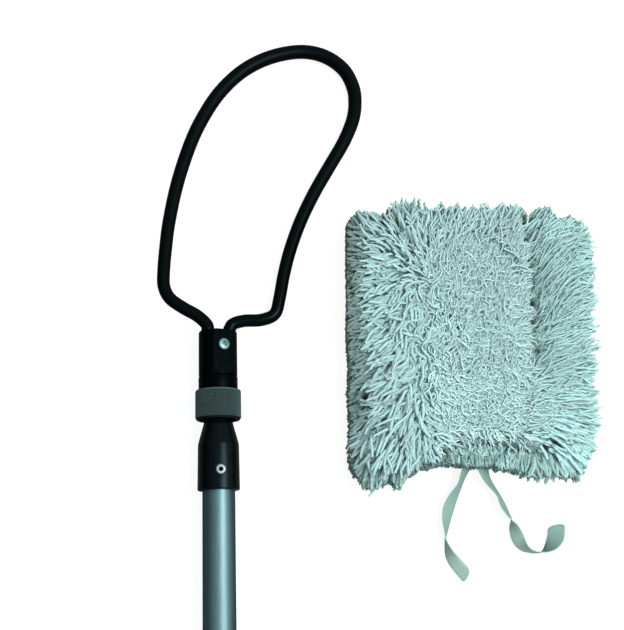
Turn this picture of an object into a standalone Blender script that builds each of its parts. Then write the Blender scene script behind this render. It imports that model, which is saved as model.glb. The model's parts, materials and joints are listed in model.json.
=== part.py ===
# Pipe duster: an aluminium pole whose loop-shaped head turns and is locked by a knurled
# nut, with a shaggy pocket sleeve lying beside it. Everything is in metres, +Z is up.
# The origin is the middle of the flat face at the grip's end of the pole, on the pole's
# axis. +Y runs up the pole to the loop, and the sleeve lies on the +X side. "Station"
# means a place along the pole, measured from that end face.

import math

import bmesh
import bpy
from mathutils import Matrix, Vector

# Fits shared by all pieces
fit_gap = 0.0003  # between two pieces that touch or fit
running_gap = 0.0005  # between two pieces that turn or slide on each other
overrun = 0.002  # how far a cutter reaches past what it cuts
edge_break = 0.0006  # small chamfer on turned edges

# Pole
pole_length = 0.762
pole_diameter = 0.025
pole_wall = 0.0012

# Grip end
cap_solid_length = 0.026
cap_socket_depth = 0.014
cap_edge = 0.004
hang_hole_diameter = 0.010
hang_hole_share = 0.54  # of the cap's solid length, from the end face
grip_length = 0.120
grip_wall = 0.0024
grip_rib_height = 0.0012
grip_rib_count = 8
grip_rib_top_share = 0.45  # of the rib spacing

# Ferrule on the pole's head end
ferrule_diameter = 0.0324
ferrule_kink_diameter = 0.0316  # where the cone starts
ferrule_straight_length = 0.03485
ferrule_cone_length = 0.018
ferrule_seat_depth = 0.03225
neck_diameter = 0.022
neck_length = 0.0178
ring_groove_depth = 0.001
ring_groove_width = 0.0018
ring_groove_setback = 0.0068  # from the neck's end to the groove's far side
spigot_diameter = 0.014
spigot_length = 0.021
spigot_end_room = 0.004
flare_steps = 6
flare_ease_share = 0.012  # how far the flare's curve swings from a straight cone

# Rivets through ferrule and pole
rivet_station = 0.01475  # from the ferrule's mouth
rivet_turn = math.radians(11)  # from straight up, towards +X
rivet_head_diameter = 0.0082
rivet_head_height = 0.0011
rivet_rim_share = 1 / 3  # of the head's height, straight up before it slopes in
rivet_top_share = 0.8  # of the head's radius, left flat on top
rivet_shank_diameter = 0.0048
rivet_hole_diameter = 0.0032
rivet_hole_depth = 0.005
rivet_tail_diameter = 0.0066
rivet_tail_height = 0.0014
rivet_spot_depth = 0.0006

# Captive lock nut, its washer and its retaining ring
nut_diameter = 0.036
nut_length = 0.0233
nut_skirt = 0.0051  # recess under the nut
nut_skirt_wall = 0.0028
nut_lip = 0.003
nut_chamfer = 0.0012
nut_foot_chamfer = 0.0016
knurl_depth = 0.0009
knurl_count = 48
knurl_rows = 9
thread_diameter = 0.0278
thread_depth = 0.0007
thread_pitch = 0.0015
thread_overlap = 0.0032  # how far the male thread reaches down past the neck's end
washer_thickness = 0.0015
ring_thickness = 0.0012
ring_width = 0.003
ring_opening = math.radians(36)
friction_washer_thickness = 0.001

# Turning collar of the head, and its bolt
collar_diameter = 0.0306
collar_length = 0.01015
bolt_diameter = 0.0058
bolt_head_diameter = 0.010
bolt_head_height = 0.005
bolt_reach = 0.010  # into the socket

# Socket that holds the loop
socket_diameter = 0.0302
socket_length = 0.03605
socket_edge = 0.0008
socket_flat_height = 0.0127  # from the axis to the milled flat
socket_flat_turn = math.radians(26)  # from straight up, towards +X
socket_flat_start = 0.0022  # from the socket's foot
rod_seat_depth = 0.0235
cover_seat_depth = 0.004
screw_station = 0.0122  # from the socket's top
screw_head_diameter = 0.0089
screw_head_height = 0.0024
screw_rim_share = 0.3  # of the head's height, straight up before the dome
screw_diameter = 0.0048
screw_tip_wall = 0.0026  # left behind the tip of the screw

# Loop: a bendable rod in a black cover, as wide and as long as these
loop_width = 0.160
loop_reach = 0.2473
rod_diameter = 0.0072
cover_diameter = 0.0100
cover_far_diameter = 0.0119  # the cover is thicker at the far end
# The middle line, from the left rod's way out of the socket round to the right one's:
# shares of loop_width from the pole's axis, and of loop_reach from the socket's top.
loop_shares = [
    (-0.052, 0.000), (-0.053, 0.024), (-0.101, 0.055), (-0.172, 0.082),
    (-0.236, 0.113), (-0.265, 0.151), (-0.268, 0.198), (-0.2595, 0.276),
    (-0.242, 0.3755), (-0.2015, 0.508), (-0.139, 0.643), (-0.072, 0.744),
    (0.0205, 0.842), (0.1435, 0.9235), (0.288, 0.9765), (0.448, 1.000),
    (0.577, 0.9855), (0.677, 0.9375), (0.7255, 0.8725), (0.734, 0.812),
    (0.718, 0.747), (0.6645, 0.664), (0.581, 0.5705), (0.4965, 0.474),
    (0.423, 0.374), (0.366, 0.2725), (0.332, 0.1875), (0.310, 0.115),
    (0.2845, 0.061), (0.217, 0.041), (0.130, 0.038), (0.076, 0.0275),
    (0.0595, 0.012), (0.0535, 0.000),
]

# Sleeve: two piled panels sewn into a pocket that is open towards the grip
sleeve_side = 0.108  # from the pole's axis to the panels' near edge
sleeve_setback = 0.02125  # from the ferrule's mouth to the sleeve's own mouth
sleeve_length = 0.190
sleeve_mouth_width = 0.166
sleeve_far_width = 0.180
backing_thickness = 0.0025
pocket_gap = 0.006
underside_loft = 0.008  # pile under the lower panel, pressed flat by its weight
seam_width = 0.004
hem_width = 0.006
hem_swell = 0.0008
strand_length = 0.020
strand_thickness = 0.0066
strand_columns = 11
strand_rows = 14
# The upper pile leans away from its crown, the more the further from it, and the lower
# pile is combed flat the same way: the crown as shares of the panel's width and length
upper_crown_shares = (0.46, 0.55)
upper_lean_shares = (1.7, 1.5)  # lean for each share away from the crown
lower_crown_shares = (0.5, 1.09)
lower_lean_shares = (2.0, 1.4)
# A strand's bend: shares of its length from the root to the knee and on to the tip
knee_share = 0.36
tip_share = 0.45
knee_lift_share = 0.5  # how much steeper it stands below the knee
tip_lean_share = 0.6  # how much more it leans above the knee
least_rise_share = 0.4
pressed_reach_share = 0.74  # of its length, from root to tip, where it lies flat
knee_radius_share = 0.37  # of its thickness
pressed_knee_share = 0.27  # of its thickness, from the knee up to the floor's side
pressed_tip_share = 0.08

# Tie tapes sewn to the lower hem
tie_width = 0.013
tie_thickness = 0.0012
tie_reach = 0.090  # how far the ties run out from the hem along the floor
tie_lift = 0.0003
# Left and right ties: shares of tie_reach towards +X from the hem's left end, and out of
# the mouth, with the tape's tilt in degrees about its own run.
tie_left_shares = [
    (0.90, 0.000, 0), (0.88, 0.130, 8), (0.81, 0.250, 12), (0.76, 0.390, 8),
    (0.735, 0.500, 14), (0.72, 0.600, 50), (0.715, 0.665, 74), (0.725, 0.730, 50),
    (0.765, 0.825, 14), (0.830, 0.910, 6), (0.890, 0.990, 2),
]
tie_right_shares = [
    (1.07, 0.000, 0), (1.10, 0.130, -12), (1.135, 0.245, -20), (1.185, 0.335, -20),
    (1.235, 0.440, -14), (1.280, 0.535, -22), (1.330, 0.650, -40), (1.405, 0.755, -66),
    (1.490, 0.805, -80), (1.575, 0.790, -78), (1.645, 0.730, -58), (1.680, 0.650, -40),
    (1.672, 0.560, -30),
]

# The loop's wide side leans down until it lies on the floor, as the nut and the cap do.
loop_drop = (nut_diameter - cover_far_diameter) / 2
loop_roll = math.asin(loop_drop / (loop_width * max(across for across, out in loop_shares)))

# Roundness, in sides, and steps between two points of a smooth run
round_sides = 32
grip_sides = 20
small_sides = 16
rod_sides = 10
loop_steps = 2
tie_steps = 3

# Edges sharper than this are drawn sharp
sharp_angle = math.radians(35)
sharp_knurl_angle = math.radians(20)
sharp_pile_angle = math.radians(50)

# Stations along the pole, worked out from the sizes above
tube_start = cap_solid_length + fit_gap
tube_end = tube_start + pole_length
ferrule_mouth = tube_end + fit_gap - ferrule_seat_depth
cone_start = ferrule_mouth + ferrule_straight_length
neck_start = cone_start + ferrule_cone_length
neck_end = neck_start + neck_length
groove_start = neck_end - ring_groove_setback
ring_start = groove_start + (ring_groove_width - ring_thickness) / 2
washer_start = ring_start - fit_gap - washer_thickness
lip_start = washer_start - fit_gap - nut_lip
nut_start = lip_start - nut_skirt
nut_end = nut_start + nut_length
friction_washer_start = neck_end + fit_gap
collar_seat = friction_washer_start + friction_washer_thickness + fit_gap
thread_start = neck_end - thread_overlap
collar_start = nut_end + fit_gap
collar_end = collar_start + collar_length
spigot_end = collar_seat - spigot_length
socket_start = collar_end + fit_gap
socket_end = socket_start + socket_length
bolt_head_start = spigot_end + fit_gap
bolt_shoulder = bolt_head_start + bolt_head_height
bolt_end = socket_start + bolt_reach
floor = -nut_diameter / 2
sleeve_mouth = ferrule_mouth + sleeve_setback
lower_face = floor + underside_loft
pocket_floor = lower_face + backing_thickness
pocket_roof = pocket_floor + pocket_gap
upper_face = pocket_roof + backing_thickness


def clear_scene():
    for old in list(bpy.data.objects):
        bpy.data.objects.remove(old, do_unlink=True)


def finish(name, colour, roughness, metallic):
    made = bpy.data.materials.new(name)
    made.use_nodes = True
    shader = made.node_tree.nodes["Principled BSDF"]
    shader.inputs["Base Color"].default_value = (*colour, 1)
    shader.inputs["Roughness"].default_value = roughness
    shader.inputs["Metallic"].default_value = metallic
    return made


def place(name, bm, material, sharp=sharp_angle):
    """Makes the finished bmesh an object, shaded smooth except across its sharp edges."""
    bmesh.ops.recalc_face_normals(bm, faces=bm.faces)
    mesh = bpy.data.meshes.new(name)
    bm.to_mesh(mesh)
    bm.free()
    mesh.shade_smooth()
    mesh.set_sharp_from_angle(angle=sharp)
    mesh.materials.append(material)
    made = bpy.data.objects.new(name, mesh)
    bpy.context.scene.collection.objects.link(made)
    return made


def along_pole(made, parent):
    """Lays a piece that was turned about Z along the pole, on the joint axis."""
    made.parent = parent
    made.rotation_euler = (-math.pi / 2, 0, 0)
    return made


def turned(profile, sides, sweep=math.tau):
    """Turns a closed outline of (radius, height) points about Z with Spin."""
    bm = bmesh.new()
    corners = [bm.verts.new((radius, 0, height)) for radius, height in profile]
    for a, b in zip(corners, corners[1:] + corners[:1]):
        if a.co.x > 0 or b.co.x > 0:
            bm.edges.new((a, b))
    whole = sweep == math.tau
    if not whole:
        bm.faces.new(corners)
    bmesh.ops.spin(
        bm,
        geom=bm.verts[:] + bm.edges[:] + bm.faces[:],
        cent=(0, 0, 0),
        axis=(0, 0, 1),
        angle=sweep,
        steps=sides,
        use_merge=whole,
    )
    bmesh.ops.remove_doubles(bm, verts=bm.verts, dist=fit_gap / 1000)
    return bm


def cutter(bm, name):
    """A helper that only cuts: not rendered, and drawn as wire."""
    made = place(name, bm, cut_face)
    made.hide_render = True
    made.display_type = "WIRE"
    return made


def cut(piece, tool):
    modifier = piece.modifiers.new(tool.name, "BOOLEAN")
    modifier.operation = "DIFFERENCE"
    modifier.object = tool


def rod_profile(radius, low, high):
    return [(0, low), (radius, low), (radius, high), (0, high)]


def stepped_profile(narrow, wide, low, step, high):
    return [(0, low), (narrow, low), (narrow, step), (wide, step), (wide, high), (0, high)]


def aimed(made, parent, station, turn):
    """Stands a piece turned about Z on the pole's axis, aimed outwards from it."""
    made.parent = parent
    made.location = (0, station, 0)
    made.rotation_euler = (0, turn, 0)
    return made


def make_pole(parent):
    outer = pole_diameter / 2
    inner = outer - pole_wall
    bm = turned(
        [(inner, tube_start), (outer, tube_start), (outer, tube_end), (inner, tube_end)],
        round_sides,
    )
    return along_pole(place("pole_tube", bm, aluminium), parent)


def make_end_cap(parent):
    outer = nut_diameter / 2
    bore = pole_diameter / 2 + fit_gap
    length = cap_solid_length + cap_socket_depth
    rounding = [
        (
            outer - cap_edge * (1 - math.sin(turn)),
            cap_edge * (1 - math.cos(turn)),
        )
        for turn in (math.radians(step) for step in (0, 30, 60, 90))
    ]
    profile = [(0, 0), *rounding, (outer, length - edge_break), (outer - edge_break, length)]
    profile += [(bore, length), (bore, cap_solid_length), (0, cap_solid_length)]
    cap = along_pole(place("end_cap", turned(profile, round_sides), black_rubber), parent)
    reach = outer + overrun
    hole = turned(rod_profile(hang_hole_diameter / 2, -reach, reach), small_sides)
    cut(cap, aimed(cutter(hole, "hang_hole"), parent, cap_solid_length * hang_hole_share, 0))
    return cap


def make_grip(parent):
    start = cap_solid_length + cap_socket_depth + fit_gap
    bore = pole_diameter / 2 + fit_gap
    low = bore + grip_wall
    high = low + grip_rib_height
    spacing = (grip_length - 2 * grip_wall) / grip_rib_count
    crest = spacing * grip_rib_top_share
    slope = (spacing - crest) / 3
    profile = [(bore, start), (low, start), (low, start + grip_wall)]
    for rib in range(grip_rib_count):
        foot = start + grip_wall + rib * spacing
        profile += [(low, foot + slope / 2), (high, foot + slope * 3 / 2)]
        profile += [(high, foot + slope * 3 / 2 + crest), (low, foot + slope * 5 / 2 + crest)]
    end = start + grip_length
    profile += [(low, end - edge_break), (low - edge_break, end), (bore, end)]
    return along_pole(place("hand_grip", turned(profile, grip_sides), black_rubber), parent)


def make_ferrule(parent):
    outer = ferrule_diameter / 2
    kink = ferrule_kink_diameter / 2
    neck = neck_diameter / 2
    groove = neck - ring_groove_depth
    groove_end = groove_start + ring_groove_width
    seat = ferrule_mouth + ferrule_seat_depth
    tube_bore = pole_diameter / 2 + fit_gap
    spigot_bore = spigot_diameter / 2 + fit_gap
    flare = [
        (
            kink + (neck - kink) * (part - math.sin(part * math.tau) * flare_ease_share),
            cone_start + ferrule_cone_length * part,
        )
        for part in (step / flare_steps for step in range(flare_steps + 1))
    ]
    profile = [(tube_bore, ferrule_mouth), (outer - edge_break, ferrule_mouth)]
    profile += [(outer, ferrule_mouth + edge_break), *flare]
    profile += [(neck, groove_start), (groove, groove_start)]
    profile += [(groove, groove_end), (neck, groove_end)]
    profile += [(neck, neck_end - edge_break), (neck - edge_break, neck_end)]
    profile += [(spigot_bore, neck_end), (spigot_bore, spigot_end - spigot_end_room)]
    profile += [(0, spigot_end - spigot_end_room), (0, seat), (tube_bore, seat)]
    return along_pole(place("ferrule", turned(profile, round_sides), black_plastic), parent)


def make_rivets(parent, ferrule, tube):
    outer = ferrule_diameter / 2
    seat = outer - rivet_spot_depth
    head = rivet_head_diameter / 2
    shank = rivet_shank_diameter / 2
    tail = rivet_tail_diameter / 2
    hole = rivet_hole_diameter / 2
    bore = pole_diameter / 2 - pole_wall
    under = math.sqrt(bore**2 - tail**2) - fit_gap
    low = seat + fit_gap
    top = low + rivet_head_height
    profile = [(0, under - rivet_tail_height), (tail, under - rivet_tail_height)]
    profile += [(tail, under), (shank, under), (shank, low), (head, low)]
    profile += [(head, low + rivet_head_height * rivet_rim_share)]
    profile += [(head * rivet_top_share, top), (hole, top)]
    profile += [(hole, top - rivet_hole_depth), (0, top - rivet_hole_depth)]
    station = ferrule_mouth + rivet_station
    for name, turn in (("front", rivet_turn), ("rear", rivet_turn + math.pi)):
        rivet = place(f"ferrule_rivet_{name}", turned(profile, small_sides), bright_steel)
        aimed(rivet, parent, station, turn)
        way = stepped_profile(shank + fit_gap, head + fit_gap, 0, seat, outer + overrun)
        drill = aimed(cutter(turned(way, small_sides), f"drill_{name}"), parent, station, turn)
        cut(ferrule, drill)
        cut(tube, drill)


def make_snap_ring(parent):
    inner = neck_diameter / 2 - ring_groove_depth + fit_gap
    outer = inner + ring_width
    top = ring_start + ring_thickness
    profile = [(inner, ring_start), (outer, ring_start), (outer, top), (inner, top)]
    sweep = math.tau - ring_opening
    bm = turned(profile, int(round_sides * sweep / math.tau), sweep)
    return along_pole(place("snap_ring", bm, bright_steel), parent)


def make_washer(name, inner, outer, start, thickness, material, parent):
    profile = [(inner, start), (outer, start), (outer, start + thickness)]
    profile += [(inner, start + thickness)]
    return along_pole(place(name, turned(profile, round_sides), material), parent)


def make_lock_nut(parent):
    """Rows of points round the axis; the knurl's rows alternate between peak and valley."""
    peak = nut_diameter / 2
    bore = thread_diameter / 2 + running_gap
    lip_bore = neck_diameter / 2 + running_gap
    skirt_bore = peak - knurl_depth - nut_skirt_wall
    low = nut_start + nut_foot_chamfer
    high = nut_end - nut_chamfer
    rows = [(skirt_bore, nut_start, 0), (peak - nut_foot_chamfer, nut_start, 0)]
    for row in range(knurl_rows):
        part = row / (knurl_rows - 1)
        rows.append((peak - knurl_depth / 2, low + (high - low) * part, knurl_depth / 2))
    rows += [(peak - nut_chamfer, nut_end, 0), (bore, nut_end, 0)]
    rows += [(bore, lip_start + nut_lip, 0), (lip_bore, lip_start + nut_lip, 0)]
    rows += [(lip_bore, lip_start, 0), (skirt_bore, lip_start, 0)]
    bm = bmesh.new()
    rings = []
    for row, (radius, height, wave) in enumerate(rows):
        ring = []
        for column in range(knurl_count):
            turn = math.tau * column / knurl_count
            side = wave if (row + column) % 2 == 0 else -wave
            reach = radius + side
            ring.append(bm.verts.new((reach * math.cos(turn), reach * math.sin(turn), height)))
        rings.append(ring)
    for row, ring in enumerate(rings):
        above = rings[(row + 1) % len(rings)]
        for column in range(knurl_count):
            a, b = ring[column], ring[(column + 1) % knurl_count]
            d, c = above[column], above[(column + 1) % knurl_count]
            if (row + column) % 2 == 0:
                bm.faces.new((a, b, d))
                bm.faces.new((b, c, d))
            else:
                bm.faces.new((a, b, c))
                bm.faces.new((a, c, d))
    return along_pole(place("lock_nut", bm, grey_steel, sharp_knurl_angle), parent)


def make_collar(parent):
    outer = collar_diameter / 2
    crest = thread_diameter / 2
    root = crest - thread_depth
    cup = neck_diameter / 2 + running_gap
    spigot = spigot_diameter / 2
    recess = bolt_head_diameter / 2 + fit_gap
    hole = bolt_diameter / 2 + fit_gap
    profile = [(hole, bolt_shoulder + fit_gap), (recess, bolt_shoulder + fit_gap)]
    profile += [(recess, spigot_end), (spigot - edge_break, spigot_end)]
    profile += [(spigot, spigot_end + edge_break), (spigot, collar_seat), (cup, collar_seat)]
    profile += [(cup, thread_start), (root, thread_start)]
    turns = int((collar_start - thread_start) / thread_pitch)
    for turn in range(turns):
        foot = thread_start + thread_pitch * turn
        profile += [(crest, foot + thread_pitch / 2), (root, foot + thread_pitch)]
    profile += [(root, collar_start), (outer - edge_break, collar_start)]
    profile += [(outer, collar_start + edge_break), (outer, collar_end - edge_break)]
    profile += [(outer - edge_break, collar_end), (hole, collar_end)]
    return along_pole(place("swivel_collar", turned(profile, round_sides), black_metal), parent)


def make_swivel_bolt(parent):
    head = bolt_head_diameter / 2
    shank = bolt_diameter / 2
    tip = bolt_end - edge_break
    profile = [(0, bolt_head_start), (head, bolt_head_start), (head, bolt_shoulder)]
    profile += [(shank, bolt_shoulder), (shank, tip), (shank - edge_break, bolt_end)]
    profile += [(0, bolt_end)]
    return along_pole(place("swivel_bolt", turned(profile, small_sides), bright_steel), parent)


def make_socket(parent):
    outer = socket_diameter / 2
    well = bolt_diameter / 2 + fit_gap
    well_end = bolt_end + fit_gap
    profile = [(well, socket_start), (outer - socket_edge, socket_start)]
    profile += [(outer, socket_start + socket_edge), (outer, socket_end - socket_edge)]
    profile += [(outer - socket_edge, socket_end), (0, socket_end)]
    profile += [(0, well_end), (well, well_end)]
    socket = along_pole(place("loop_socket", turned(profile, round_sides), black_metal), parent)
    for side, share in (("left", loop_shares[0][0]), ("right", loop_shares[-1][0])):
        across = share * loop_width
        way = stepped_profile(
            rod_diameter / 2 + fit_gap,
            cover_diameter / 2 + fit_gap,
            socket_end - rod_seat_depth,
            socket_end - cover_seat_depth,
            socket_end + overrun,
        )
        drill = cutter(turned(way, small_sides), f"rod_seat_{side}")
        drill.location = (across * math.cos(loop_roll), 0, -across * math.sin(loop_roll))
        cut(socket, along_pole(drill, parent))
    cut(socket, make_flat_mill(parent))
    way = rod_profile(screw_diameter / 2 + fit_gap, screw_tip() - fit_gap, outer + overrun)
    drill = cutter(turned(way, small_sides), "screw_hole")
    cut(socket, aimed(drill, parent, socket_end - screw_station, socket_flat_turn))
    return socket


def screw_tip():
    """How far from the axis the clamp screw ends, on the far side."""
    return screw_tip_wall - socket_diameter / 2


def make_flat_mill(parent):
    """The block that mills the flat on the socket's right front."""
    outer = socket_diameter / 2 + overrun
    low = socket_start + socket_flat_start
    high = socket_end + overrun
    bm = bmesh.new()
    bmesh.ops.create_cube(bm, size=1)
    size = (2 * outer, high - low, outer - socket_flat_height)
    bmesh.ops.scale(bm, vec=size, verts=bm.verts)
    middle = (0, 0, (outer + socket_flat_height) / 2)
    bmesh.ops.translate(bm, vec=middle, verts=bm.verts)
    return aimed(cutter(bm, "flat_mill"), parent, (low + high) / 2, socket_flat_turn)


def make_clamp_screw(parent):
    head = screw_head_diameter / 2
    shank = screw_diameter / 2
    low = socket_flat_height + fit_gap
    rim = low + screw_head_height * screw_rim_share
    rise = screw_head_height * (1 - screw_rim_share)
    dome = [
        (head * math.cos(turn), rim + rise * math.sin(turn))
        for turn in (math.radians(step) for step in (0, 25, 50, 72))
    ]
    profile = [(0, screw_tip()), (shank - edge_break, screw_tip())]
    profile += [(shank, screw_tip() + edge_break), (shank, low), (head, low), *dome]
    profile += [(0, low + screw_head_height)]
    screw = place("clamp_screw", turned(profile, small_sides), bright_steel)
    return aimed(screw, parent, socket_end - screw_station, socket_flat_turn)


def smooth_run(points, steps):
    """Points along a Catmull-Rom curve through the given ones, as plain tuples."""
    ends = [2 * points[0] - points[1], *points, 2 * points[-1] - points[-2]]
    run = []
    for a, b, c, d in zip(ends, ends[1:], ends[2:], ends[3:]):
        for step in range(steps):
            t = step / steps
            run.append(
                (b * 2 + (c - a) * t + (a * 2 - b * 5 + c * 4 - d) * t**2
                 + (b * 3 - a - c * 3 + d) * t**3) / 2
            )
    return [*run, points[-1]]


def loop_line(depth):
    """The loop's middle line in its own rolled plane, with both ends this deep in the socket."""
    line = [
        Vector((across * loop_width, socket_end + out * loop_reach, 0))
        for across, out in loop_shares
    ]
    run = smooth_run(line, loop_steps)
    down = Vector((0, -depth, 0))
    return [run[0] + down, *run, run[-1] + down]


def ring_of(bm, middle, direction, up, radius, sides):
    across = direction.cross(up).normalized()
    return [
        bm.verts.new(
            middle
            + across * (radius * math.cos(math.tau * side / sides))
            + up * (radius * math.sin(math.tau * side / sides))
        )
        for side in range(sides)
    ]


def skin(bm, rings):
    for low, high in zip(rings, rings[1:]):
        for side in range(len(low)):
            after = (side + 1) % len(low)
            bm.faces.new((low[side], low[after], high[after], high[side]))


def directions(run):
    ahead = [b - a for a, b in zip(run, run[1:])]
    turns = [a.normalized() + b.normalized() for a, b in zip(ahead, ahead[1:])]
    return [ahead[0].normalized(), *(turn.normalized() for turn in turns), ahead[-1].normalized()]


def make_loop_core(parent):
    bm = bmesh.new()
    run = loop_line(rod_seat_depth - fit_gap)
    up = Vector((0, 0, 1))
    rings = [
        ring_of(bm, point, way, up, rod_diameter / 2, rod_sides)
        for point, way in zip(run, directions(run))
    ]
    skin(bm, rings)
    bm.faces.new(rings[0])
    bm.faces.new(rings[-1])
    return roll_loop(place("loop_core", bm, aluminium), parent)


def make_loop_cover(parent):
    bm = bmesh.new()
    run = loop_line(cover_seat_depth - fit_gap)
    up = Vector((0, 0, 1))
    swell = (cover_far_diameter - cover_diameter) / 2
    outside, inside = [], []
    for point, way in zip(run, directions(run)):
        out = max(point.y - socket_end, 0) / loop_reach
        radius = cover_diameter / 2 + swell * out
        outside.append(ring_of(bm, point, way, up, radius, rod_sides))
        inside.append(ring_of(bm, point, way, up, rod_diameter / 2 + fit_gap, rod_sides))
    skin(bm, outside)
    skin(bm, inside)
    skin(bm, [outside[0], inside[0]])
    skin(bm, [outside[-1], inside[-1]])
    return roll_loop(place("loop_cover", bm, black_rubber), parent)


def roll_loop(made, parent):
    made.parent = parent
    made.rotation_euler = (0, loop_roll, 0)
    return made


def sleeve_point(across, out):
    """A place on the sleeve, from shares of its width and of its length from the mouth."""
    width = sleeve_mouth_width + (sleeve_far_width - sleeve_mouth_width) * out
    return Vector((sleeve_side + width * across, sleeve_mouth + sleeve_length * out, 0))


def combed(across, out, crown, lean):
    """Which way the pile leans there: away from the crown."""
    return Vector((lean[0] * (across - crown[0]), lean[1] * (out - crown[1]), 0))


strand_corners = [math.radians(turn) for turn in (225, 345, 105)]


def strand_ring(bm, middle, radius, lean, ceiling):
    """Three corners of a strand round a place on it, square to its lean."""
    ring = []
    for turn in strand_corners:
        spoke = Vector((radius * math.cos(turn), radius * math.sin(turn), 0))
        spot = middle + lean @ spoke
        spot.z = min(spot.z, ceiling)
        ring.append(bm.verts.new(spot))
    return ring


def standing_strand(root, lean):
    """Where a free strand has its knee and its tip."""
    rise = math.sqrt(max(1 - lean.length_squared, least_rise_share**2))
    aim = (lean + Vector((0, 0, rise))).normalized()
    knee = root + (aim + Vector((0, 0, knee_lift_share))) * (strand_length * knee_share)
    return knee, knee + (aim + lean * tip_lean_share) * (strand_length * tip_share)


def pressed_strand(root, lean):
    """Where a strand that lies flat between the panel and the floor has them."""
    way = lean.normalized()
    knee = root + way * (strand_length * knee_share)
    tip = root + way * (strand_length * pressed_reach_share)
    knee.z = underside_loft - strand_thickness * pressed_knee_share
    tip.z = underside_loft - strand_thickness * pressed_tip_share
    return knee, tip


def grow_strand(bm, cell, bend, lean, ceiling):
    """Grows one strand out of the middle of a four-cornered cell of the backing."""
    middle = sum((corner.co for corner in cell), Vector()) / len(cell)
    root = strand_ring(bm, middle, strand_thickness / 2, Matrix.Identity(3), ceiling)
    around = cell + root
    for a, b, c in ((0, 1, 4), (1, 5, 4), (1, 2, 5), (2, 6, 5), (2, 3, 6), (3, 4, 6), (3, 0, 4)):
        bm.faces.new((around[a], around[b], around[c]))
    knee, tip = bend(middle, lean)
    turn = Vector((0, 0, 1)).rotation_difference(tip - middle)
    ring = strand_ring(bm, knee, strand_thickness * knee_radius_share, turn, ceiling)
    skin(bm, [root, ring])
    end = bm.verts.new(tip)
    for a, b in zip(ring, ring[1:] + ring[:1]):
        bm.faces.new((a, b, end))


def make_panel(name, face, up, comb, bend, ceiling, parent):
    """A backing with its pile: every cell of its outer face grows one strand."""
    bm = bmesh.new()
    columns, rows = strand_columns, strand_rows
    grid = [
        [bm.verts.new(sleeve_point(column / columns, row / rows)) for column in range(columns + 1)]
        for row in range(rows + 1)
    ]
    for row in range(rows):
        for column in range(columns):
            cell = grid[row][column:column + 2] + grid[row + 1][column:column + 2][::-1]
            lean = combed((column + 0.5) / columns, (row + 0.5) / rows, *comb)
            grow_strand(bm, cell, bend, lean, ceiling)
    rim = grid[0][:] + [grid[row][columns] for row in range(1, rows + 1)]
    rim += grid[rows][-2::-1] + [grid[row][0] for row in range(rows - 1, 0, -1)]
    back = [bm.verts.new(corner.co - Vector((0, 0, backing_thickness))) for corner in rim]
    skin(bm, [rim, back])
    bm.faces.new(back)
    turn = Matrix.Scale(up, 4, Vector((0, 0, 1)))
    bmesh.ops.transform(bm, matrix=turn, verts=bm.verts)
    bmesh.ops.translate(bm, vec=(0, 0, face), verts=bm.verts)
    panel = place(name, bm, pile, sharp_pile_angle)
    panel.parent = parent
    return panel


def make_strip(name, low_edge, high_edge, low, high, material, parent):
    """A straight strip between two lines on the floor plan, each a pair of points."""
    bm = bmesh.new()
    outline = [*low_edge, *reversed(high_edge)]
    bottom = [bm.verts.new((spot.x, spot.y, low)) for spot in outline]
    top = [bm.verts.new((spot.x, spot.y, high)) for spot in outline]
    skin(bm, [bottom, top])
    bm.faces.new(bottom)
    bm.faces.new(top)
    strip = place(name, bm, material)
    strip.parent = parent
    return strip


def make_seams(parent):
    """The sewn allowances that join the panels on three sides and leave the mouth open."""
    low = pocket_floor + fit_gap
    high = pocket_roof - fit_gap
    width = Vector((seam_width, 0, 0))
    depth = Vector((0, seam_width, 0))
    near, far = sleeve_point(0, 0), sleeve_point(0, 1)
    make_strip("left_seam", (near, near + width), (far, far + width), low, high, cloth, parent)
    near, far = sleeve_point(1, 0), sleeve_point(1, 1)
    make_strip("right_seam", (near - width, near), (far - width, far), low, high, cloth, parent)
    clear = Vector((seam_width + fit_gap, 0, 0))
    left, right = sleeve_point(0, 1) + clear, sleeve_point(1, 1) - clear
    slant = Vector((fit_gap, 0, 0))
    ends = ((left - depth, left), (right - depth - slant, right - slant))
    make_strip("end_seam", *ends, low, high, cloth, parent)


def make_hems(parent):
    """Folded tape along both lips of the pocket's mouth."""
    back = Vector((0, -fit_gap, 0))
    front = Vector((0, -fit_gap - hem_width, 0))
    left, right = sleeve_point(0, 0), sleeve_point(1, 0)
    edges = ((left + front, left + back), (right + front, right + back))
    rim = upper_face + hem_swell
    make_strip("upper_hem", *edges, pocket_roof, rim, cloth, parent)
    make_strip("lower_hem", *edges, lower_face - hem_swell, pocket_floor, cloth, parent)


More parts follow.
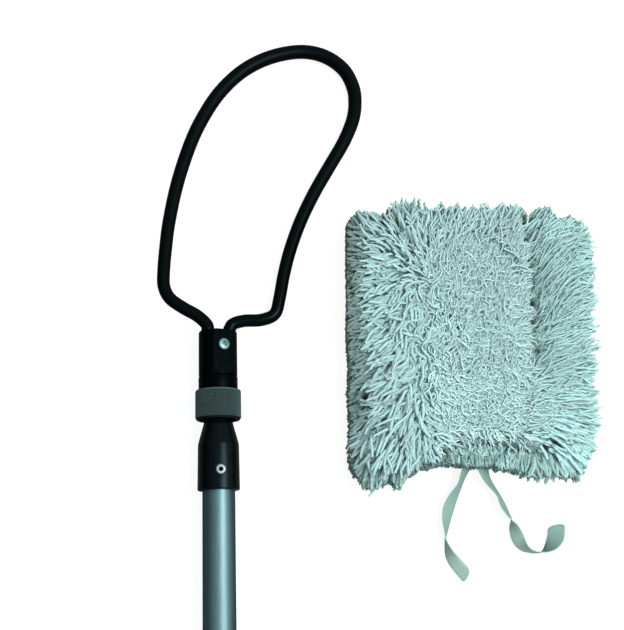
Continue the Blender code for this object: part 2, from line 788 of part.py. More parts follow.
def make_tie(name, shares, parent):
    """A flat tape from the lower hem down to the floor, tilted about its own run."""
    start = Vector((sleeve_side, sleeve_mouth - hem_width - 2 * fit_gap, 0))
    places, tilts = [], []
    for across, out, tilt in shares:
        turn = math.radians(tilt)
        stand = abs(math.sin(turn)) * tie_width / 2 + tie_thickness / 2 * math.cos(turn)
        drop = min(out / shares[2][1], 1)
        hem_height = (lower_face + pocket_floor) / 2
        height = hem_height + (floor + tie_lift + stand - hem_height) * drop
        places.append(start + Vector((across * tie_reach, -out * tie_reach, height)))
        tilts.append(Vector((turn, 0, 0)))
    run = smooth_run(places, tie_steps)
    turns = smooth_run(tilts, tie_steps)
    bm = bmesh.new()
    rings = []
    for spot, way, turn in zip(run, directions(run), turns):
        across = way.cross(Vector((0, 0, 1))).normalized()
        up = across.cross(way)
        flat = across * math.cos(turn.x) + up * math.sin(turn.x)
        proud = up * math.cos(turn.x) - across * math.sin(turn.x)
        wide, thick = flat * (tie_width / 2), proud * (tie_thickness / 2)
        edges = ((-wide - thick), (wide - thick), (wide + thick), (-wide + thick))
        rings.append([bm.verts.new(spot + edge) for edge in edges])
    for corner in rings[0]:
        corner.co.y = start.y
    skin(bm, rings)
    bm.faces.new(rings[0])
    bm.faces.new(rings[-1])
    tie = place(name, bm, cloth)
    tie.parent = parent
    return tie


def joint_empty(name, location, parent=None):
    made = bpy.data.objects.new(name, None)
    made.location = location
    made.parent = parent
    bpy.context.scene.collection.objects.link(made)
    return made


clear_scene()
aluminium = finish("satin aluminium", (0.52, 0.56, 0.57), 0.38, 1.0)
black_plastic = finish("black moulded plastic", (0.012, 0.016, 0.018), 0.45, 0.0)
black_metal = finish("black anodised metal", (0.010, 0.014, 0.016), 0.35, 0.3)
black_rubber = finish("black rubber", (0.010, 0.013, 0.014), 0.55, 0.0)
grey_steel = finish("knurled grey steel", (0.16, 0.18, 0.18), 0.45, 0.9)
bright_steel = finish("bright steel", (0.62, 0.66, 0.66), 0.25, 1.0)
fibre = finish("brown fibre", (0.20, 0.12, 0.07), 0.80, 0.0)
pile = finish("pale pile", (0.62, 0.80, 0.77), 0.90, 0.0)
cloth = finish("pale tape", (0.58, 0.72, 0.64), 0.90, 0.0)
cut_face = finish("cut", (0.5, 0.1, 0.1), 0.5, 0.0)

pole_axis = joint_empty("pole_axis", (0, 0, 0))
nut_axis = joint_empty("nut_axis", (0, 0, 0), pole_axis)
head_axis = joint_empty("head_axis", (0, 0, 0), pole_axis)
sleeve_stand = joint_empty("sleeve_stand", (0, 0, 0))

tube = make_pole(pole_axis)
make_end_cap(pole_axis)
make_grip(pole_axis)
ferrule = make_ferrule(pole_axis)
make_rivets(pole_axis, ferrule, tube)
make_snap_ring(pole_axis)
make_washer(
    "friction_washer",
    spigot_diameter / 2 + running_gap,
    neck_diameter / 2 - fit_gap,
    friction_washer_start,
    friction_washer_thickness,
    fibre,
    pole_axis,
)
make_washer(
    "thrust_washer",
    neck_diameter / 2 + running_gap,
    thread_diameter / 2,
    washer_start,
    washer_thickness,
    bright_steel,
    nut_axis,
)
make_lock_nut(nut_axis)
make_collar(head_axis)
make_swivel_bolt(head_axis)
make_socket(head_axis)
make_clamp_screw(head_axis)
make_loop_core(head_axis)
make_loop_cover(head_axis)
upper_comb = (upper_crown_shares, upper_lean_shares)
lower_comb = (lower_crown_shares, lower_lean_shares)
make_panel(
    "upper_panel", upper_face, 1, upper_comb, standing_strand, strand_length, sleeve_stand
)
make_panel(
    "lower_panel", lower_face, -1, lower_comb, pressed_strand, underside_loft, sleeve_stand
)
make_seams(sleeve_stand)
make_hems(sleeve_stand)
make_tie("tie_left", tie_left_shares, sleeve_stand)
make_tie("tie_right", tie_right_shares, sleeve_stand)
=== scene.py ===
# The looks of the pipe duster: a satin pole with its black fittings, knurled lock nut and
# covered loop, and the shaggy sleeve beside it. Metres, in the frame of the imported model:
# +Y runs up the pole to the loop, +X towards the sleeve, +Z up from the floor.
import json
import math
from itertools import accumulate

import bmesh
import bpy
import numpy as np
from mathutils import Matrix, Vector

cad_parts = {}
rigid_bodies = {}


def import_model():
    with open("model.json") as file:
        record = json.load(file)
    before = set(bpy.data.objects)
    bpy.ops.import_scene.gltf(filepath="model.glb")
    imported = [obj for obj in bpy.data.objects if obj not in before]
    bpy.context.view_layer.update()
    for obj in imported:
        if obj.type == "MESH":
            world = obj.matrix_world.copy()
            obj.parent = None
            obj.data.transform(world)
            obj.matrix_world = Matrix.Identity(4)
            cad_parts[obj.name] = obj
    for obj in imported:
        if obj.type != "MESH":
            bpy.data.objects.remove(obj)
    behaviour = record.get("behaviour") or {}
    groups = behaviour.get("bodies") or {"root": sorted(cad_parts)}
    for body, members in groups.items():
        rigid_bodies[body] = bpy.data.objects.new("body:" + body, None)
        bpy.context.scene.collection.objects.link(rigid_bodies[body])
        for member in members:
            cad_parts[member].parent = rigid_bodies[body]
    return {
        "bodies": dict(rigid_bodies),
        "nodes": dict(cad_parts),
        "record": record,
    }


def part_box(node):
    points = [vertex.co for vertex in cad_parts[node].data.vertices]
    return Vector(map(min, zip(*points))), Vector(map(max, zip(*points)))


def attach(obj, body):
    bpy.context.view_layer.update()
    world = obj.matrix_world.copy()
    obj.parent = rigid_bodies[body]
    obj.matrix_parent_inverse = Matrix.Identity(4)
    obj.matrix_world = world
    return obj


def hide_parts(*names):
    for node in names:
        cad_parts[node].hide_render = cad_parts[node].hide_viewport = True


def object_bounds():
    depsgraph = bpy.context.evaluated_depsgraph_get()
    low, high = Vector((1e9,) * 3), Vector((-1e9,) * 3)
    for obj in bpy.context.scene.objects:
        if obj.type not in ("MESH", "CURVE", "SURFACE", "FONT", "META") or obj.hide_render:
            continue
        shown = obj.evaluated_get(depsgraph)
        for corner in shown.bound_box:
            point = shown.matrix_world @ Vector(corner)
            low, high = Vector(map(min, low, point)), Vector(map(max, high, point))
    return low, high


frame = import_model()
for stray in set(bpy.data.objects) - set(frame["nodes"].values()) - set(frame["bodies"].values()):
    bpy.data.objects.remove(stray, do_unlink=True)
cadBox = [list(corner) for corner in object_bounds()]
chance = np.random.default_rng(7)

# The gap between two fitted pieces, and how far a cutter passes the face that it cuts
fits = {"clearance": 0.0003, "overrun": 0.002, "floor": cadBox[0][2]}
play = fits["clearance"]
over = fits["overrun"]


def placed(name, data):
    made = bpy.data.objects.new(name, data)
    bpy.context.scene.collection.objects.link(made)
    return made


def meshOf(name, bm):
    bmesh.ops.recalc_face_normals(bm, faces=bm.faces)
    mesh = bpy.data.meshes.new(name)
    bm.to_mesh(mesh)
    bm.free()
    return mesh


# Camera: stands a little below the middle of the head and looks up the pole

view = {
    "lens": 60,
    "sensorHeight": 36,
    "tilt": math.radians(14.5),
    "roll": math.radians(-1.615),
    "distance": 0.8346,
    "lookAt": (0.0749, 0.8925, 0),
}


def makeCamera():
    lens = bpy.data.cameras.new("camera")
    lens.lens = view["lens"]
    lens.sensor_fit = "VERTICAL"
    lens.sensor_height = view["sensorHeight"]
    camera = placed("camera", lens)
    camera.rotation_euler = (view["tilt"], 0, view["roll"])
    away = camera.rotation_euler.to_matrix() @ Vector((0, 0, view["distance"]))
    camera.location = Vector(view["lookAt"]) + away
    bpy.context.scene.camera = camera


# Shader nodes

class Value:
    # A socket that carries a number, so that shader maths reads as plain sums
    def __init__(self, nodes, socket):
        self.nodes = nodes
        self.socket = socket

    def math(self, operation, first, second=0.0):
        return self.nodes.node("ShaderNodeMath", {"operation": operation}, {0: first, 1: second})

    def __add__(self, other):
        return self.math("ADD", self, other)

    def __sub__(self, other):
        return self.math("SUBTRACT", self, other)

    def __mul__(self, other):
        return self.math("MULTIPLY", self, other)

    def __truediv__(self, other):
        return self.math("DIVIDE", self, other)

    def __radd__(self, other):
        return self.math("ADD", other, self)

    def __rsub__(self, other):
        return self.math("SUBTRACT", other, self)

    def __rmul__(self, other):
        return self.math("MULTIPLY", other, self)

    def __rtruediv__(self, other):
        return self.math("DIVIDE", other, self)

    def root(self):
        return self.math("POWER", self, 0.5)

    def sine(self):
        return self.math("SINE", self)

    def wave(self):
        # A sine that runs from 0 to 1
        return self.sine() * 0.5 + 0.5


class Nodes:
    # A node tree, where one call makes a node with its settings and then its sockets
    def __init__(self, tree):
        self.tree = tree

    def node(self, kind, settings=None, sockets=None, out=0):
        made = self.tree.nodes.new(kind)
        for name, value in (settings or {}).items():
            if name == "stops":
                self.stops(made.color_ramp, value)
            else:
                setattr(made, name, value)
        for name, value in (sockets or {}).items():
            self.plug(made.inputs[name], value)
        return Value(self, made.outputs[out])

    def stops(self, ramp, stops):
        while len(ramp.elements) < len(stops):
            ramp.elements.new(0.5)
        for element, (place, colour) in zip(ramp.elements, stops):
            element.position = place
            element.color = (*colour, 1)

    def plug(self, socket, value):
        if isinstance(value, Value):
            self.tree.links.new(value.socket, socket)
        elif isinstance(value, tuple) and socket.type == "RGBA":
            socket.default_value = (*value, 1)
        else:
            socket.default_value = value


class Finish(Nodes):
    # One material for a slot, whose nodes all lead to its Principled shader
    def __init__(self, name, slot, colour, roughness, metallic=0.0, gloss=None, tint=None):
        self.slot = slot
        self.material = bpy.data.materials.new(name)
        self.material.use_nodes = True
        super().__init__(self.material.node_tree)
        self.shader = self.tree.nodes["Principled BSDF"]
        self.set("Base Color", colour)
        self.set("Roughness", roughness)
        self.set("Metallic", metallic)
        if gloss is not None:
            self.set("Specular IOR Level", gloss)
        if tint:
            self.set("Specular Tint", tint)

    def set(self, name, value):
        self.plug(self.shader.inputs[name], value)

    def place(self):
        return self.node("ShaderNodeTexCoord", out="Object")

    def attribute(self, name, out="Vector"):
        return self.node("ShaderNodeAttribute", {"attribute_name": name}, out=out)

    def parts(self, vector):
        made = self.node("ShaderNodeSeparateXYZ", sockets={0: vector})
        return [Value(self, socket) for socket in made.socket.node.outputs]

    def noise(self, vector, scale, detail, roughness):
        # A scale of three numbers stretches the noise
        if isinstance(scale, tuple):
            sockets = {0: vector, 1: scale}
            vector = self.node("ShaderNodeVectorMath", {"operation": "MULTIPLY"}, sockets)
            scale = 1.0
        sockets = {"Vector": vector, "Scale": scale, "Detail": detail, "Roughness": roughness}
        return self.node("ShaderNodeTexNoise", sockets=sockets)

    def ramp(self, value, *stops):
        return self.node("ShaderNodeValToRGB", {"stops": stops}, {0: value})

    def fade(self, value, low, high, start=0.0, end=1.0):
        sockets = {0: value, 1: low, 2: high, 3: start, 4: end}
        return self.node("ShaderNodeMapRange", {"interpolation_type": "SMOOTHSTEP"}, sockets)

    def mixed(self, share, first, second, way="MIX"):
        settings = {"data_type": "RGBA", "blend_type": way}
        return self.node("ShaderNodeMix", settings, {0: share, 6: first, 7: second}, out=2)

    def bump(self, height, strength, depth, normal=None):
        sockets = {"Height": height, "Strength": strength, "Distance": depth}
        if normal:
            sockets["Normal"] = normal
        self.set("Normal", self.node("ShaderNodeBump", sockets=sockets))

    def ended(self, colour, roughness, *bump):
        # What every finish ends with
        self.set("Base Color", colour)
        self.set("Roughness", roughness)
        self.bump(*bump)
        return self

    def fluffy(self, share):
        # A normal that leans upwards, because light spreads through a fluffy surface
        normal = self.node("ShaderNodeNewGeometry", out="Normal")
        sockets = {0: normal, 1: (1 - share,) * 3, 2: (0, 0, share)}
        leant = self.node("ShaderNodeVectorMath", {"operation": "MULTIPLY_ADD"}, sockets)
        return self.node("ShaderNodeVectorMath", {"operation": "NORMALIZE"}, {0: leant})


# Floor, light and world

studio = {
    "keyPower": 13.8,
    "keySize": 0.62,
    "keyAway": 1.25,
    "keyLean": (0.60, -0.10, 1.0),
    "skyLean": (0.55, 0.0, 0.84),
    "skyLevels": (-0.3, 1.0, 0.05, 1.30),  # from and to along the lean, and the light there
    "worldColour": (0.93, 0.98, 1.0),
    "floorSize": 8.0,
    "floorColour": (0.22, 0.22, 0.22),
    "floorGlow": 0.86,  # seen by the camera only
}


def makeFloor():
    bm = bmesh.new()
    bmesh.ops.create_grid(bm, x_segments=1, y_segments=1, size=studio["floorSize"] / 2)
    bmesh.ops.translate(bm, vec=(0.0, 0.5, fits["floor"]), verts=bm.verts)
    floor = placed("floor", meshOf("floor", bm))
    white = Finish("floor white", None, studio["floorColour"], 1.0, gloss=0.0)
    seen = white.node("ShaderNodeLightPath")  # its first output is Is Camera Ray
    glow = white.node("ShaderNodeEmission", sockets={"Strength": seen * studio["floorGlow"]})
    matt = Value(white, white.shader.outputs[0])
    both = white.node("ShaderNodeAddShader", sockets={0: matt, 1: glow})
    white.plug(white.tree.nodes["Material Output"].inputs["Surface"], both)
    floor.data.materials.append(white.material)


def makeLight():
    lamp = bpy.data.lights.new("key", "AREA")
    lamp.shape = "DISK"
    lamp.size = studio["keySize"]
    lamp.energy = studio["keyPower"]
    key = placed("key", lamp)
    aim = Vector(studio["keyLean"]).normalized()
    key.location = Vector((*view["lookAt"][:2], 0)) + aim * studio["keyAway"]
    key.rotation_euler = aim.to_track_quat("Z", "Y").to_euler()

    world = bpy.data.worlds.new("room")
    world.use_nodes = True
    room = Nodes(world.node_tree)
    sky = room.tree.nodes["Background"]
    room.plug(sky.inputs["Color"], studio["worldColour"])
    # The room is lighter above and to the right
    sockets = {0: room.node("ShaderNodeTexCoord"), 1: studio["skyLean"]}
    facing = room.node("ShaderNodeVectorMath", {"operation": "DOT_PRODUCT"}, sockets, "Value")
    sockets = {0: facing, **dict(enumerate(studio["skyLevels"], 1))}
    room.plug(sky.inputs["Strength"], room.node("ShaderNodeMapRange", sockets=sockets))
    # The camera sees plain white past the floor's edge
    blank = room.node("ShaderNodeBackground", sockets={"Color": (1.0, 1.0, 1.0)})
    sockets = {0: room.node("ShaderNodeLightPath"), 1: Value(room, sky.outputs[0]), 2: blank}
    seen = room.node("ShaderNodeMixShader", sockets=sockets)
    room.plug(room.tree.nodes["World Output"].inputs["Surface"], seen)
    bpy.context.scene.world = world
    bpy.context.scene.view_settings.view_transform = "Standard"


makeCamera()
makeFloor()
makeLight()
print("camera, floor and light stand")


# Meshes shared by all pieces

def piece(name, bm, finish, body, node, sharp=35):
    # Turns the finished bmesh into a piece that rides on its body, in place of a node
    made = dressed(name, meshOf(name, bm), finish, body, sharp)
    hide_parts(node)
    return made


def dressed(name, mesh, finish, body, sharp):
    smoothed(mesh, sharp)
    mesh.materials.append(finish.material)
    made = placed(name, mesh)
    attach(made, body)
    return made


def smoothed(mesh, sharp):
    mesh.shade_smooth()
    mesh.set_sharp_from_angle(angle=math.radians(sharp))


def settled(made):
    # Applies the piece's modifiers to its mesh
    graph = bpy.context.evaluated_depsgraph_get()
    mesh = bpy.data.meshes.new_from_object(made.evaluated_get(graph))
    made.modifiers.clear()
    made.data = mesh


def eased(outline, steps=4):
    # Rounds each corner of an outline that names a third number, the room it takes
    run = []
    for number, corner in enumerate(outline):
        here = Vector(corner[:2])
        if len(corner) < 3:
            run.append(here)
            continue
        before = Vector(outline[number - 1][:2])
        after = Vector(outline[(number + 1) % len(outline)][:2])
        first = here + (before - here).normalized() * corner[2]
        last = here + (after - here).normalized() * corner[2]
        for step in range(steps + 1):
            t = step / steps
            run.append(first * (1 - t) ** 2 + here * 2 * t * (1 - t) + last * t**2)
    return [tuple(point) for point in run]


def turned(outline, sides):
    # A closed outline of (radius, station) turned round the pole's axis
    bm = bmesh.new()
    rings = []
    for radius, station in outline:
        turns = [math.tau * side / sides for side in range(sides if radius else 1)]
        spots = [(radius * math.sin(turn), station, radius * math.cos(turn)) for turn in turns]
        rings.append([bm.verts.new(spot) for spot in spots])
    for low, high in zip(rings, rings[1:] + rings[:1]):
        joinRings(bm, low, high)
    return bm


def lathed(name, outline, finish, body, node, steps=4, sides=96):
    # A piece turned about the pole's axis, its corners rounded
    return piece(name, turned(eased(outline, steps), sides), finish, body, node)


def joinRings(bm, low, high):
    for side in range(max(len(low), len(high))):
        after = side + 1
        corners = [
            low[side % len(low)],
            low[after % len(low)],
            high[after % len(high)],
            high[side % len(high)],
        ]
        corners = list(dict.fromkeys(corners))
        if len(corners) > 2:
            bm.faces.new(corners)


def skinned(bm, rings):
    # Skins a run of rings, whose corners are places and what they hold as "grow"
    grow = bm.verts.layers.float_vector.get("grow") or bm.verts.layers.float_vector.new("grow")
    made = []
    for ring in rings:
        made.append([])
        for place, value in ring:
            corner = bm.verts.new(place)
            corner[grow] = value
            made[-1].append(corner)
    for low, high in zip(made, made[1:]):
        joinRings(bm, low, high)
    return made


def standing(station, turn):
    # The frame of something that stands on the pole's axis and is turned about it
    return Matrix.Translation((0, station, 0)) @ Matrix.Rotation(turn, 4, "Y")


def aimed(bm, station, turn):
    # Stands a piece turned about the pole's axis on that axis, aimed outwards from it
    lay = standing(station, turn) @ Matrix.Rotation(math.pi / 2, 4, "X")
    bmesh.ops.transform(bm, matrix=lay, verts=bm.verts)
    return bm


def carve(made, *cutters):
    # Cuts these shapes out of a piece and keeps the result as its mesh
    tools = [placed("cutter", meshOf("cutter", bm)) for bm in cutters]
    for tool in tools:
        tool.data.materials.append(made.data.materials[0])
        cut = made.modifiers.new("cut", "BOOLEAN")
        cut.operation = "DIFFERENCE"
        cut.object = tool
    settled(made)
    for tool in tools:
        bpy.data.objects.remove(tool, do_unlink=True)
    smoothed(made.data, 35)


def smoothRun(points, steps):
    # Points along a Catmull-Rom curve through the given vectors
    ends = [2 * points[0] - points[1], *points, 2 * points[-1] - points[-2]]
    run = []
    for a, b, c, d in zip(ends, ends[1:], ends[2:], ends[3:]):
        for step in range(steps):
            t = step / steps
            bend = a * 2 - b * 5 + c * 4 - d
            run.append((b * 2 + (c - a) * t + bend * t**2 + (b * 3 - a - c * 3 + d) * t**3) / 2)
    return [*run, points[-1]]


def headings(run):
    ahead = [b - a for a, b in zip(run, run[1:])]
    turns = [a.normalized() + b.normalized() for a, b in zip(ahead, ahead[1:])]
    return [ahead[0].normalized(), *(turn.normalized() for turn in turns), ahead[-1].normalized()]


def travels(run):
    # How far along the run each of its points lies
    return list(accumulate(((b - a).length for a, b in zip(run, run[1:])), initial=0.0))


# Finishes of the pole and its fittings

def satinAluminium():
    made = Finish("satin aluminium", "aluminium", (0.40, 0.50, 0.51), 0.48, 1.0)
    made.set("Specular Tint", (0.18, 0.225, 0.248))
    where = made.place()
    drawn = made.noise(where, (3400, 60, 3400), 3.0, 0.6)
    cloud = made.noise(where, (90, 24, 90), 3.0, 0.55)
    tone = made.mixed(made.fade(drawn, 0.3, 0.7), (0.082, 0.150, 0.158), (0.115, 0.200, 0.210))
    cloudy = made.fade(cloud, 0.4, 0.75) * 0.25
    tone = made.mixed(cloudy, tone, (0.085, 0.150, 0.150))
    return made.ended(tone, 0.39 + drawn * 0.10 + cloud * 0.06, drawn, 0.25, 0.00004)


def darkFinish(name, slot, grain, tones, roughness, gloss):
    # Near-black stuff with a faint cool shine: fine grain, and clouds of handling
    made = Finish(name, slot, tones[0], roughness, gloss=gloss, tint=(0.55, 0.92, 1.0))
    where = made.place()
    fine = made.noise(where, grain, 3.0, 0.6)
    cloud = made.noise(where, 160, 4.0, 0.62)
    tone = made.mixed(made.fade(cloud, 0.45, 0.8), *tones)
    rough = roughness - 0.06 + fine * 0.10 + cloud * 0.05
    return made.ended(tone, rough, fine, 0.16, 0.00005)


def coverRubber():
    # Fine rings around the cover, which is polished by handling near its feet
    tones = (0.0001, 0.0004, 0.0005), (0.0008, 0.0015, 0.0018)
    made = Finish("cover rubber", "cover_rubber", tones[0], 0.36, gloss=0.058, tint=(0.62, 0.95, 1.0))
    along = made.parts(made.attribute("grow"))[1]
    where = made.place()
    mottle = made.noise(where, 420, 3.0, 0.6)
    rings = ((along + mottle * 0.0006) * 5200.0).wave()
    tone = made.mixed(made.fade(mottle, 0.4, 0.75), *tones)
    rough = 0.16 + made.fade(made.parts(where)[1], 0.93, 1.07) * 0.18 + mottle * 0.10
    return made.ended(tone, rough, rings * 0.4 + mottle, 0.18, 0.00008)


def knurledSteel(nut):
    # Paler tips, worn and with a painted highlight, over grooves darkened with painted shade
    made = Finish("knurled steel", "knurled_steel", (0.16, 0.20, 0.20), 0.65, 0.2, gloss=0.1)
    across, along, up = made.parts(made.place())
    reach = (across * across + up * up).root()
    tipWearAndGrooveShade = made.fade(reach, nut["radius"] - nut["knurlDepth"] * 0.85, nut["radius"] - 0.0001)
    grain = made.noise(made.place(), 2200, 3.0, 0.65)
    tone = made.mixed(tipWearAndGrooveShade, (0.003, 0.007, 0.007), (0.100, 0.175, 0.168))
    tone = made.mixed(made.fade(grain, 0.45, 0.8) * 0.5, tone, (0.025, 0.042, 0.040))
    # Painted shade: the chamfer below the knurl is painted nearly black
    foot = nut["start"] + nut["rimFoot"]
    skirt = made.fade(along, foot - 0.0003, foot, 1.0, 0.0)
    tone = made.mixed(skirt, tone, (0.003, 0.005, 0.005))
    return made.ended(tone, 0.60 + grain * 0.16, grain, 0.2, 0.00005)


def brightSteel(name, tones, roughness, grain, spotted):
    # Scratched, with small dull spots
    made = Finish(name, "bright_steel", tones[0], roughness, 1.0)
    where = made.place()
    scratch = made.noise(where, grain, 4.0, 0.7)
    spot = made.noise(where, 900, 3.0, 0.6)
    made.tone = made.mixed(made.fade(spot, 0.5, 0.72) * spotted, *tones)
    return made.ended(made.tone, roughness - 0.06 + scratch * 0.18, scratch, 0.25, 0.00006)


def ringShadedSteel(name, tones, roughness, place, rings):
    # Steel with painted light in rings round its own axis: rings of a radius and a share of the tone
    # there, which paint shade into holes and over parts of a head and leave a ring at full tone. Its
    # place is a station along the pole and a turn about it.
    made = brightSteel(name, tones, roughness, (2600, 900, 900), 0.6)
    across, along, up = made.parts(made.place())
    station, turn = place
    side = across * math.cos(turn) - up * math.sin(turn)
    rise = along - station
    reach = (side * side + rise * rise).root()
    last = rings[-1][0]
    share = made.ramp(reach / last, *[(radius / last, (level,) * 3) for radius, level in rings])
    made.set("Base Color", made.mixed(1.0, made.tone, share, "MULTIPLY"))
    return made


def brownFibre():
    made = Finish("brown fibre", "fibre", (0.20, 0.12, 0.07), 0.8)
    strands = made.noise(made.place(), (900, 3000, 900), 4.0, 0.7)
    tone = made.mixed(strands, (0.13, 0.075, 0.04), (0.26, 0.165, 0.10))
    return made.ended(tone, 0.8, strands, 0.3, 0.0001)


aluminium = satinAluminium()
plastic = darkFinish(
    "black moulded plastic", "black_plastic", (1600, 1600, 1600),
    ((0.0004, 0.0010, 0.0012), (0.0015, 0.003, 0.004)), 0.27, 0.095,
)
metal = darkFinish(
    "black anodised metal", "black_metal", (1500, 2600, 1500),
    ((0.0003, 0.0008, 0.0010), (0.001, 0.002, 0.0025)), 0.31, 0.022,
)
rubber = darkFinish(
    "black rubber", "black_rubber", (900, 900, 900),
    ((0.003, 0.005, 0.006), (0.010, 0.013, 0.014)), 0.58, 0.13,
)
cover = coverRubber()
hiddenSteel = brightSteel(
    "zinc plated steel", ((0.34, 0.38, 0.38), (0.22, 0.26, 0.26)), 0.35, (2600, 300, 900), 0.75
)
fibre = brownFibre()


# Pole, its end cap, its grip and its ferrule

tubeLow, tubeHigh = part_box("pole_tube")
pole = {
    "radius": tubeHigh.x,
    "wall": 0.0012,
    "start": tubeLow.y,
    "end": tubeHigh.y,
    "edge": 0.0004,
}
rivet = {
    "station": 0.01475,  # from the ferrule's mouth
    "turn": math.radians(11),
    "headRadius": 0.0041,
    "headHeight": 0.0011,
    "headEdge": 0.0005,
    "crown": 0.00025,
    "shankRadius": 0.0024,
    "holeRadius": 0.0016,
    "holeDepth": 0.005,
    "tailRadius": 0.0033,
    "tailHeight": 0.0014,
    "spotDepth": 0.0006,
    "sides": 40,
}
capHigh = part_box("end_cap")[1]
cap = {
    "radius": capHigh.x,
    "solid": tubeLow.y - play,
    "end": capHigh.y,
    "faceEdge": 0.0064,
    "mouthEdge": 0.0012,
    "holeRadius": 0.005,
    "holeShare": 0.54,  # of the cap's solid length
    "holeFlare": 0.0014,
}
gripLow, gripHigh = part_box("hand_grip")
grip = {
    "bore": pole["radius"] + play,
    "wall": 0.0024,
    "ribs": 8,
    "ribTopShare": 0.45,
    "start": gripLow.y,
    "end": gripHigh.y,
    "edge": 0.0007,
    "ribEdge": 0.0011,
}
ferruleLow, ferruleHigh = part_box("ferrule")
ferrule = {
    "radius": ferruleHigh.x,
    "kinkRadius": 0.0158,
    "mouth": ferruleLow.y,
    "end": ferruleHigh.y,
    "straight": 0.03485,
    "cone": 0.018,
    "seatDepth": 0.03225,
    "neckRadius": 0.011,
    "flareEaseShare": 0.012,
    "flareSteps": 16,
    "mouthEdge": 0.0011,
    "boreEdge": 0.0004,
    "kinkEdge": 0.0005,
    "grooveDepth": 0.001,
    "grooveWidth": 0.0018,
    "grooveSetback": 0.0068,
    "spigotBore": 0.0073,
    "spigotRoom": 0.004,
    "edge": 0.0006,
}
# Painted shade: the rivet's hole is painted nearly black and the round edge of its head dark, round a
# pale ring
rivetShadedSteel = ringShadedSteel(
    "rivet steel", ((0.26, 0.35, 0.35), (0.13, 0.18, 0.18)), 0.46,
    (ferrule["mouth"] + rivet["station"], rivet["turn"]),
    ((0.0, 0.004), (0.0015, 0.01), (0.0020, 0.75), (0.0028, 0.75), (0.0035, 0.28), (0.0042, 0.06)),
)


def rivetPair(outline):
    # The same turned shape at both rivets, front and rear
    station = ferrule["mouth"] + rivet["station"]
    turns = (rivet["turn"], rivet["turn"] + math.pi)
    return [aimed(turned(outline, rivet["sides"]), station, turn) for turn in turns]


def rivetHoles():
    # The stepped holes for the rivets, from the axis outwards
    seat = ferrule["radius"] - rivet["spotDepth"]
    shank = rivet["shankRadius"] + play
    head = rivet["headRadius"] + play
    reach = ferrule["radius"] + over
    return rivetPair([(0, 0), (shank, 0), (shank, seat), (head, seat), (head, reach), (0, reach)])


def makePole():
    outer, edge = pole["radius"], pole["edge"]
    inner = outer - pole["wall"]
    outline = [(inner, pole["start"], edge), (outer, pole["start"], edge)]
    outline += [(outer, pole["end"], edge), (inner, pole["end"], edge)]
    made = lathed("poleSatinTube", outline, aluminium, "pole", "pole_tube")
    carve(made, *rivetHoles())


def makeEndCap():
    outer, end, solid = cap["radius"], cap["end"], cap["solid"]
    outline = [(0, 0), (outer, 0, cap["faceEdge"]), (outer, end, cap["mouthEdge"])]
    outline += [(grip["bore"], end), (grip["bore"], solid), (0, solid)]
    made = lathed("endCapRubber", outline, rubber, "pole", "end_cap", 8)
    hole, flare = cap["holeRadius"], cap["holeFlare"]
    half = [(hole, outer - 3 * flare), (hole + flare, outer - 2 * flare)]
    half += [(hole + 2 * flare, outer + over), (0, outer + over)]
    spool = [(radius, -station) for radius, station in half[::-1]] + half
    carve(made, aimed(turned(spool, rivet["sides"]), solid * cap["holeShare"], 0))


def makeGrip():
    bore, start, end = grip["bore"], grip["start"], grip["end"]
    low, high = bore + grip["wall"], gripHigh.x
    spacing = (end - start - 2 * grip["wall"]) / grip["ribs"]
    crest = spacing * grip["ribTopShare"]
    slope = (spacing - crest) / 3
    outline = [(bore, start), (low, start, grip["edge"])]
    for rib in range(grip["ribs"]):
        foot = start + grip["wall"] + rib * spacing
        rise = ((low, slope / 2), (high, slope * 3 / 2))
        fall = ((high, slope * 3 / 2 + crest), (low, slope * 5 / 2 + crest))
        outline += [(radius, foot + along, grip["ribEdge"]) for radius, along in (*rise, *fall)]
    outline += [(low, end, grip["edge"]), (bore, end)]
    lathed("gripRubberRibs", outline, rubber, "pole", "hand_grip")


def makeFerrule():
    outer, mouth, end = ferrule["radius"], ferrule["mouth"], ferrule["end"]
    kink, neck, bore = ferrule["kinkRadius"], ferrule["neckRadius"], ferrule["spigotBore"]
    cone = mouth + ferrule["straight"]
    seat = mouth + ferrule["seatDepth"]
    groove = end - ferrule["grooveSetback"]
    grooveEnd = groove + ferrule["grooveWidth"]
    grooveBed = neck - ferrule["grooveDepth"]
    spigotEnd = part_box("swivel_collar")[0].y - ferrule["spigotRoom"]
    outline = [(grip["bore"], mouth, ferrule["boreEdge"]), (outer, mouth, ferrule["mouthEdge"])]
    outline += [(kink, cone, ferrule["kinkEdge"])]
    for step in range(1, ferrule["flareSteps"] + 1):
        part = step / ferrule["flareSteps"]
        swing = part - math.sin(part * math.tau) * ferrule["flareEaseShare"]
        outline.append((kink + (neck - kink) * swing, cone + ferrule["cone"] * part))
    outline += [(neck, groove), (grooveBed, groove), (grooveBed, grooveEnd), (neck, grooveEnd)]
    outline += [(neck, end, ferrule["edge"]), (bore, end), (bore, spigotEnd)]
    outline += [(0, spigotEnd), (0, seat), (grip["bore"], seat)]
    made = lathed("ferrulePlastic", outline, plastic, "pole", "ferrule")
    carve(made, *rivetHoles())


